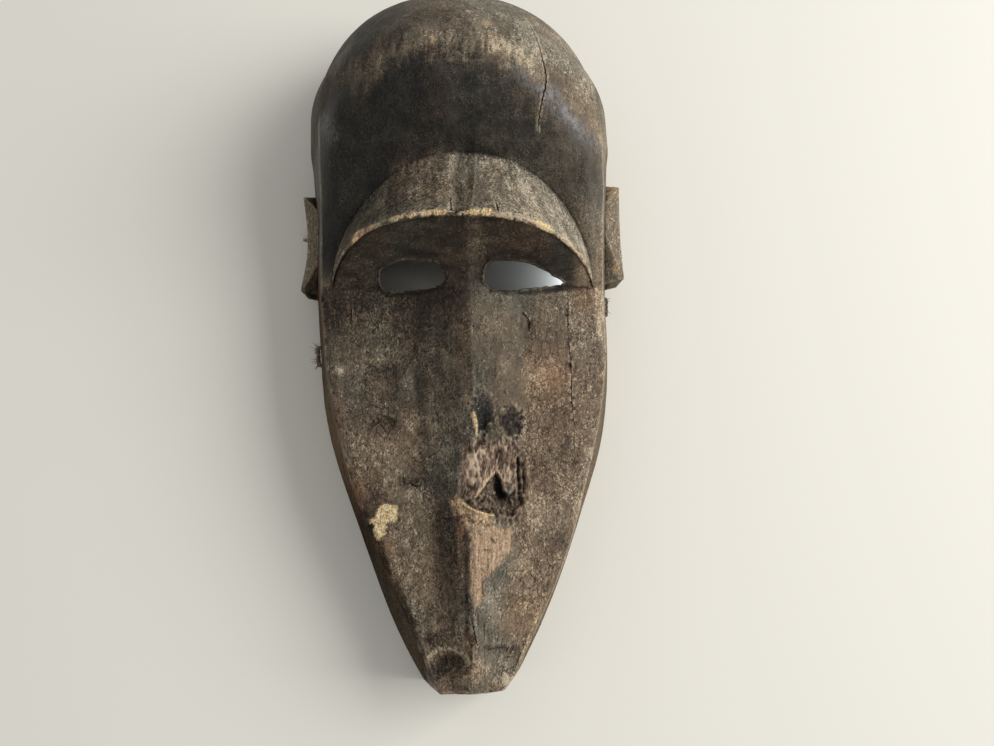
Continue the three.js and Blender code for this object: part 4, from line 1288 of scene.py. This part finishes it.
class Finish:
    """A material in the making. Each call adds a node and gives the socket with its result."""

    def __init__(self, name):
        self.material = bpy.data.materials.new(name)
        self.material.use_nodes = True
        self.tree = self.material.node_tree
        self.shader = self.tree.nodes["Principled BSDF"]
        self.place = self.node("TexCoord")["Object"]

    def feed(self, node, inputs):
        for key, value in inputs.items():
            if isinstance(value, bpy.types.NodeSocket):
                self.tree.links.new(value, node.inputs[key])
            else:
                node.inputs[key].default_value = value

    def node(self, kind, inputs=None, **settings):
        node = self.tree.nodes.new("ShaderNode" + kind)
        for name, value in settings.items():
            setattr(node, name, value)
        self.feed(node, inputs or {})
        return node.outputs

    def scaled(self, place, size, seed):
        """A place in units of the size given in millimetres, moved on for each seed."""
        scale = [1 / length / MM for length in size]
        return self.node("Mapping", {
            "Vector": place, "Scale": scale, "Location": (seed, 2 * seed, 3 * seed)})[0]

    def noise(self, size, seed, detail=3.0, turn=0.0):
        """Noise from 0 to 1, with swells of the given size in millimetres along each axis."""
        turned = self.node("Mapping", {"Vector": self.place, "Rotation": (0, 0, turn)})[0]
        place = self.scaled(turned, size, seed)
        return self.node("TexNoise", {"Vector": place, "Scale": 1, "Detail": detail, "Roughness": 0.6})[0]

    def bent(self, size, reach):
        """The object's coordinates, pushed about by noise of the given size, by up to reach."""
        place = self.node("VectorMath", {0: self.place, 1: [1 / size / MM] * 3}, operation="MULTIPLY")[0]
        push = self.node("TexNoise", {"Vector": place, "Scale": 1, "Detail": 2})["Color"]
        return self.node("VectorMath", {
            0: push, 1: [reach * MM] * 3, 2: self.place}, operation="MULTIPLY_ADD")[0]

    def cells(self, size, seed, place, feature="F1"):
        """Distance to the nearest of many scattered points, or to the seams between their cells."""
        place = self.scaled(place, size, seed)
        return self.node("TexVoronoi", {"Vector": place, "Scale": 1}, feature=feature)["Distance"]

    def field(self, name):
        return self.node("Attribute", attribute_name=name)["Fac"]

    def step(self, value, low, high):
        """0 where the value is low and 1 where it is high, and soft between them."""
        return self.node("MapRange", {
            "Value": value, "From Min": low, "From Max": high}, interpolation_type="SMOOTHSTEP")[0]

    def calc(self, operation, a, b=0.0, c=0.0):
        return self.node("Math", {0: a, 1: b, 2: c}, operation=operation)[0]

    def times(self, a, b):
        return self.calc("MULTIPLY", a, b)

    def times_plus(self, a, b, c):
        return self.calc("MULTIPLY_ADD", a, b, c)

    def sum_of(self, *shares):
        """Adds up sockets, each given with its weight."""
        total = 0.0
        for socket, weight in shares:
            total = self.times_plus(socket, weight, total)
        return total

    def blend(self, share, a, b):
        return self.node("Mix", {0: share, 6: a, 7: b}, data_type="RGBA")[2]

    def ramp(self, value, stops):
        """A run of colours, each given with the value at which it stands."""
        node = self.tree.nodes.new("ShaderNodeValToRGB")
        self.feed(node, {"Fac": value})
        band = node.color_ramp
        while len(band.elements) < len(stops):
            band.elements.new(1)
        for element, (place, shade) in zip(band.elements, stops):
            element.position, element.color = place, tone(shade)
        return node.outputs[0]

    def done(self, colour, roughness, height, depth, **rest):
        bump = self.node("Bump", {"Height": height, "Distance": depth * MM, "Strength": 1})["Normal"]
        self.feed(self.shader, {"Base Color": colour, "Roughness": roughness, "Normal": bump, **rest})
        return self.material


class Grain:
    """The swells of the smoked wood's surface, from fine specks to long streaks and scratches."""

    def __init__(self, wood):
        self.fine = wood.noise((0.85, 1.1, 0.85), 1, 2)
        self.grit = wood.noise((1.8, 2.5, 1.8), 3, 3)
        self.streak = wood.noise((1.2, 12, 2.5), 2, 2)
        self.scratch = wood.noise((0.6, 11, 0.8), 5, 2, 0.6)
        self.texture = wood.sum_of(
            (self.fine, 1.0), (self.grit, 0.35), (self.streak, 0.25), (self.scratch, 0.2))


def smoked_skin(wood, grain, level, shine):
    """The dark skin: fine specks in clusters, coarser grit where it is eaten, and short scuffs, with
    a painted bluish sheen, a painted reflection on the forehead.
    """
    coarse = wood.field("coarse")
    stain = wood.noise((4.2, 5.6, 4.2), 19, 3)
    clusters = wood.step(wood.noise((6, 8, 6), 22, 2), 0.38, 0.62)
    strength = wood.sum_of((coarse, 0.6), (clusters, 0.5), (level, 0.3))
    speckle = wood.times(wood.calc("SUBTRACT", grain.texture, 0.9), wood.calc("ADD", strength, 0.2))
    gritty = wood.calc("SUBTRACT", wood.sum_of((grain.grit, 0.55), (stain, 0.6)), 0.575)
    gritty = wood.times(gritty, wood.times_plus(coarse, 0.6, 0.15))
    scuffs, nicks = 0.0, 0.0
    for seed, turn in ((20, -0.7), (21, 0.9), (23, 0.15)):
        strokes = wood.noise((0.7, 3.4, 1), seed, 2, turn)
        scuffs = wood.calc("MAXIMUM", scuffs, wood.step(strokes, 0.59, 0.68))
        nicks = wood.calc("MAXIMUM", nicks, wood.step(strokes, 0.4, 0.31))
    marks = wood.times(wood.sum_of((scuffs, 0.6), (nicks, -0.45)), wood.times_plus(clusters, 0.7, 0.3))
    marks = wood.times(marks, wood.times(level, wood.times_plus(shine, -0.6, 0.8)))
    shown = wood.sum_of((level, 1.0), (speckle, 1.0), (gritty, 1.0), (marks, 1.0))
    colour = wood.blend(wood.field("warm"), wood.ramp(shown, COOL_SKIN), wood.ramp(shown, BROWN_SKIN))
    painted_sheen_and_gloss = wood.times(wood.field("painted_sheen_and_gloss"), wood.step(grain.grit, 0.35, 0.6))
    return wood.blend(wood.times(painted_sheen_and_gloss, 0.6), colour, tone(PAINTED_SHEEN_BLUE))


def knocked_skin(wood, grain, colour, cracks, bent):
    """Fine cracks, pale flecks where the dark skin is knocked off, and rubbed edges, paler as painted
    highlight on the lit side.
    """
    colour = wood.blend(cracks, colour, tone(CRACK_DARK))
    dots = wood.step(wood.cells((2.1, 2.9, 2.1), 16, bent), 0.3, 0.16)
    dots = wood.times(dots, wood.step(wood.noise((2.6, 3, 2.6), 17, 1), 0.5, 0.62))
    colour = wood.blend(wood.times(dots, wood.field("flecks")), colour, tone(FLECK_PALE))
    rubbed = wood.step(wood.sum_of((grain.fine, 0.5), (grain.grit, 0.5)), 0.38, 0.52)
    worn = wood.times(wood.field("worn"), rubbed)
    return wood.blend(wood.times(worn, 0.9), colour, tone(RUBBED_AND_HIGHLIT_PALE))


def broken_wood(wood, grain, colour, level):
    """Bare, rotten and broken wood, soot, the patch of cream paint, and painted shade in hollows."""
    ochre_share = wood.field("ochre")
    fresh = wood.ramp(wood.sum_of((grain.fine, 0.4), (grain.grit, 0.25), (grain.streak, 0.35)), FRESH_WOOD)
    ochre = wood.ramp(wood.sum_of((grain.fine, 0.5), (grain.grit, 0.5)), OCHRE_WOOD)
    fresh = wood.blend(ochre_share, fresh, ochre)
    colour = wood.blend(ochre_share, colour, wood.blend(0.55, colour, ochre))
    colour = wood.blend(wood.field("bare"), colour, fresh)
    shreds, lumps = wood.noise((1.1, 3.6, 2), 18, 3, 0.15), wood.noise((4, 5, 4), 24, 3)
    torn = wood.ramp(wood.sum_of((shreds, 0.45), (wood.field("torn"), 0.3), (lumps, 0.25)), TORN_WOOD)
    colour = wood.blend(wood.times(wood.field("rotten"), 0.9), colour, torn)
    colour = wood.blend(wood.field("grey"), colour, tone(GREY_DUST))
    colour = wood.blend(wood.field("pitted"), colour, wood.ramp(grain.grit, CRUMBLY_WOOD))
    golden = wood.ramp(wood.noise((0.7, 1.8, 1.8), 14, 2), GOLDEN_WOOD)
    colour = wood.blend(wood.field("gold"), colour, golden)
    red = wood.times(wood.field("redness"), wood.step(grain.grit, 0.4, 0.6))
    colour = wood.blend(wood.times(red, wood.times_plus(level, 0.6, 0.3)), colour, tone(RED_WOOD))
    soot_and_shade = wood.times(wood.field("soot"), wood.step(grain.fine, 0.75, 0.5))
    colour = wood.blend(soot_and_shade, colour, tone(SOOT_AND_SHADE_BLACK))
    cream = wood.ramp(wood.sum_of((grain.fine, 0.6), (grain.grit, 0.4)), CREAM_PAINT)
    colour = wood.blend(wood.field("cream"), colour, cream)
    return wood.blend(wood.times(wood.field("crevice_shade"), 0.7), colour, tone(CREVICE_SHADE_DARK))


def outside_finish():
    wood = Finish("smoked_wood")
    grain = Grain(wood)
    level, shine = wood.field("level"), wood.field("shine")
    bent = wood.bent(2.2, 1.4)
    cracks = wood.step(wood.cells((5.5, 8, 5.5), 15, bent, "DISTANCE_TO_EDGE"), 0.07, 0.02)
    cracks = wood.times(cracks, wood.times(wood.field("crackle"), 0.75))
    colour = smoked_skin(wood, grain, level, shine)
    colour = knocked_skin(wood, grain, colour, cracks, bent)
    colour = broken_wood(wood, grain, colour, level)
    matt = wood.sum_of(
        (wood.step(grain.texture, 0.8, 1.0), 0.14), (wood.field("soot"), 0.2), (wood.field("bare"), 0.2))
    roughness = wood.times_plus(shine, -0.2, wood.calc("ADD", matt, 0.55))
    height = wood.sum_of(
        (grain.fine, 0.5), (grain.grit, 0.55), (grain.streak, 0.35), (grain.scratch, 0.3), (cracks, -0.8))
    gloss = wood.sum_of((wood.field("painted_sheen_and_gloss"), 0.3), (shine, 0.1), (wood.field("dull"), -0.16))
    specular = {"Specular IOR Level": wood.calc("ADD", gloss, 0.16)}
    return wood.done(colour, roughness, height, 0.5, **specular)


def hollow_finish():
    wood = Finish("hewn_inside")
    blotch, streak = wood.noise((20, 34, 20), 6), wood.noise((1.6, 26, 2), 7)
    fleck = wood.noise((1, 1.4, 1), 8, 1)
    mottle = wood.sum_of((blotch, 0.45), (streak, 0.4), (fleck, 0.15))
    colour = wood.blend(wood.step(mottle, 0.36, 0.64), tone((74, 58, 43)), tone((146, 122, 92)))
    return wood.done(colour, wood.times_plus(fleck, 0.2, 0.65), mottle, 0.5)


def cut_finish(name, dark, light):
    wood = Finish(name)
    mottle = wood.sum_of((wood.noise((1.2, 3, 6), 9), 0.6), (wood.noise((5, 5, 9), 10), 0.4))
    colour = wood.blend(wood.step(mottle, 0.36, 0.62), tone(dark), tone(light))
    return wood.done(colour, wood.times_plus(mottle, 0.2, 0.6), mottle, 0.4)


mesh.materials.clear()
mesh.materials.append(outside_finish())
mesh.materials.append(hollow_finish())
mesh.materials.append(cut_finish("smoked_cut", (24, 20, 16), (62, 51, 40)))
mesh.materials.append(cut_finish("split_wood", (20, 17, 14), (48, 39, 31)))
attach(mask, "root")
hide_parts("mask")

# The side cords
# A short stitch of twisted plant fibre is left in each side wall, in two drilled holes. It once
# held the costume. The ends are frayed, and both cords are grey with dust.


def frames(line):
    """Two directions across a line of points, turning as little as possible along it."""
    ahead = np.gradient(line, axis=0)
    ahead /= np.linalg.norm(ahead, axis=1)[:, None]
    across_line = np.cross(ahead[0], (0.3, 0.2, 1.0))
    sideways = []
    for direction in ahead:
        across_line = across_line - direction * across_line.dot(direction)
        across_line /= np.linalg.norm(across_line)
        sideways.append(across_line)
    sideways = np.array(sideways)
    return sideways, np.cross(ahead, sideways)


def strand(line, radius, sides=7):
    """Rings of points round a line. radius is a number, or one for each point."""
    over, beside = frames(line)
    turn = np.linspace(0, 2 * np.pi, sides, endpoint=False)[None, :, None]
    reach = np.broadcast_to(radius, len(line))[:, None, None]
    return line[:, None] + reach * (over[:, None] * np.cos(turn) + beside[:, None] * np.sin(turn))


def twisted(line, radius, plies, lay):
    """The strands of a twisted cord, each a line of points. lay is the length of one turn."""
    over, beside = frames(line)
    steps = np.linalg.norm(np.diff(line, axis=0), axis=1)
    run = np.concatenate([[0], np.cumsum(steps)])
    for ply in range(plies):
        turn = (2 * np.pi * (ply / plies + run / lay))[:, None]
        yield line + (over * np.cos(turn) + beside * np.sin(turn)) * radius


def fibre_piece(strands, name):
    """One mesh of many strands, each given as its rings of points."""
    skin = Skin()
    for rings in strands:
        closed = np.concatenate([rings, rings[:, :1]], axis=1)
        skin.sheet(closed[:, ::-1])
        skin.face(rings[0])
        skin.face(rings[-1][::-1])
    piece = skin.piece(name)
    piece.data.shade_smooth()
    return piece


def frayed(line, start, count, reach, hang, seed):
    """Loose fibres that leave a cord's surface and curl away from it, and hang a little."""
    chance = np.random.default_rng(seed)
    for _ in range(count):
        root = line[chance.integers(start, len(line) - start)]
        away = chance.normal(0, 1, 3) * (0.6, 1, 0.6) + hang
        away /= np.linalg.norm(away)
        curl = chance.normal(0, 0.45, 3)
        t = np.linspace(0, 1, 6)[:, None]
        length = chance.uniform(0.5, 1) * reach
        points = root + away * length * t + curl * length * t**2
        yield strand(points, np.linspace(0.22, 0.07, 6), 4)


def fibre_finish(name, dark, light):
    fibre = Finish(name)
    fuzz = fibre.noise((0.4, 0.9, 0.4), 11, 3)
    patch_of = fibre.noise((3, 3, 3), 12, 2)
    shade = fibre.step(fibre.sum_of((fuzz, 0.6), (patch_of, 0.4)), 0.36, 0.64)
    colour = fibre.blend(shade, tone(dark), tone(light))
    return fibre.done(colour, fibre.times_plus(fuzz, 0.1, 0.85), fuzz, 0.25)


def stitch_line(side_of, low, high, out):
    """Out by one hole, along the wall at the distance given, and back in by the other."""

    def at_height(y, height):
        return wall_x(side_of, y) + side_of * height, y, STITCH_Z

    def from_hole(hole_y, ahead):
        route = [(0, -WALL - 5), (0, -WALL / 2), (0, -0.5), (0.4, out * 0.7), (2, out)]
        return [at_height(hole_y + ahead * on, height) for on, height in route]

    middle = at_height((low + high) / 2, out)
    return curve_through([*from_hole(low, 1), middle, *from_hole(high, -1)[::-1]], 7)


# For each cord: how thick it is beside a whole one, how many loose fibres it has and how long they
# reach. The right one has lost most of its fibre.
CORD_STATES = {"left": (1, 46, 4.2), "right": (0.7, 12, 2.4)}
PLY_RADIUS, PLY_OFF_AXIS, PLIES, LAY = 0.78, 0.66, 3, 9

cord_fibre = fibre_finish("dusty_fibre", (62, 52, 42), (146, 130, 108))
for name, (side_of, low_y, high_y) in STITCHES.items():
    thickness, hairs, reach = CORD_STATES[name]
    line = stitch_line(side_of, low_y, high_y, CORD / 2 * thickness + 0.2)
    plies = [strand(ply, PLY_RADIUS * thickness)
             for ply in twisted(line, PLY_OFF_AXIS * thickness, PLIES, LAY)]
    loose = frayed(line, 20, hairs, reach, (side_of * 0.9, -0.5, 0.3), 61)
    cord = fibre_piece([*plies, *loose], f"side_cord_{name}")
    cord.data.materials.append(cord_fibre)
    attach(cord, "root")
    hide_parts(f"side_stitch_{name}")

# The ear's tuft
# The end of a fibre tie is stuck in the small hole in the left ear's outer face. It has come
# untwisted and sticks out in a few pale strands.

tie = curve_through([(-93, TUFT_Y, TUFT_Z), (-99, TUFT_Y, TUFT_Z), (-104.4, TUFT_Y + 1, TUFT_Z + 0.6)], 10)
loosened = [strand(ply, np.linspace(0.85, 0.4, len(tie))) for ply in twisted(tie, 0.7, 3, 12)]
tuft = fibre_piece([*loosened, *frayed(tie, 8, 22, 5.5, (-0.5, 0.2, 1.2), 62)], "ear_tuft")
tuft.data.materials.append(fibre_finish("pale_fibre", (120, 104, 82), (206, 192, 164)))
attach(tuft, "root")
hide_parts("ear_tuft_left")

# The floor, the light and the camera
# The mask lies on a plain pale floor. A large soft light stands at its right, a pale sky fills the
# shadows, and a small light in the hollow stands for the light that gets in under the rim.

FLOOR_HALF, FLOOR_Z = 4, -0.0003
SKY_COLOUR, SKY_STRENGTH = (1, 0.99, 0.97, 1), 0.42

floor_corners = [(FLOOR_HALF * right, FLOOR_HALF * far, FLOOR_Z)
                 for right, far in ((-1, -1), (1, -1), (1, 1), (-1, 1))]
floor_mesh = bpy.data.meshes.new("floor")
floor_mesh.from_pydata(floor_corners, [], [(0, 1, 2, 3)])
floor = bpy.data.objects.new("floor", floor_mesh)
bpy.context.scene.collection.objects.link(floor)
floor_paint = Finish("floor")
floor_paint.feed(floor_paint.shader, {"Base Color": tone((242, 240, 232)), "Roughness": 0.9})
floor_mesh.materials.append(floor_paint.material)

world = bpy.data.worlds.new("sky")
world.use_nodes = True
sky = world.node_tree.nodes["Background"].inputs
sky["Color"].default_value = SKY_COLOUR
sky["Strength"].default_value = SKY_STRENGTH
bpy.context.scene.world = world


def lamp(name, place, target, size, power, colour):
    """A square soft light at its place, turned to the target."""
    light = bpy.data.lights.new(name, "AREA")
    light.size, light.energy, light.color = size, power, colour
    piece = bpy.data.objects.new(name, light)
    piece.location = place
    piece.rotation_euler = (Vector(target) - Vector(place)).to_track_quat("-Z", "Y").to_euler()
    bpy.context.scene.collection.objects.link(piece)
    return piece


lamp("window", (1.55, 0.2, 1.3), (0, 0, 0.05), 1.4, 33, (1, 0.985, 0.95))
inside_lamp = lamp("under_rim", (0.086, 0.037, 0.0115), (0.074, 0.037, 0), 0.014, 0.016, (0.85, 0.93, 1))
inside_lamp.visible_camera = False

# The camera hangs 0.44 m over the mask, a little towards the muzzle's end, and is turned and rolled
# by a few degrees. Its focal length is given in pixels of the picture.
YAW, PITCH, ROLL = math.radians(3.2), math.radians(11.5), math.radians(-1.25)
AIM, DISTANCE = Vector((0.0183, -0.0425, 0.075)), 0.441
FOCAL_PIXELS, PICTURE_PIXELS, SENSOR = 770, 994, 36
camera = bpy.data.objects.new("camera", bpy.data.cameras.new("camera"))
camera.data.sensor_width = SENSOR
camera.data.lens = FOCAL_PIXELS / PICTURE_PIXELS * SENSOR
camera.data.clip_start = 0.01
level_reach = math.cos(PITCH)
ahead = Vector((math.sin(YAW) * level_reach, math.sin(PITCH), -math.cos(YAW) * level_reach)).normalized()
right = ahead.cross(Vector((0, 1, 0))).normalized()
up = right.cross(ahead)
tilted_right = right * math.cos(ROLL) + up * math.sin(ROLL)
tilted_up = up * math.cos(ROLL) - right * math.sin(ROLL)
facing = Matrix((tilted_right, tilted_up, -ahead)).transposed().to_4x4()
camera.matrix_world = Matrix.Translation(AIM - ahead * DISTANCE) @ facing
bpy.context.scene.collection.objects.link(camera)
bpy.context.scene.camera = camera
bpy.context.scene.view_settings.view_transform = "Standard"
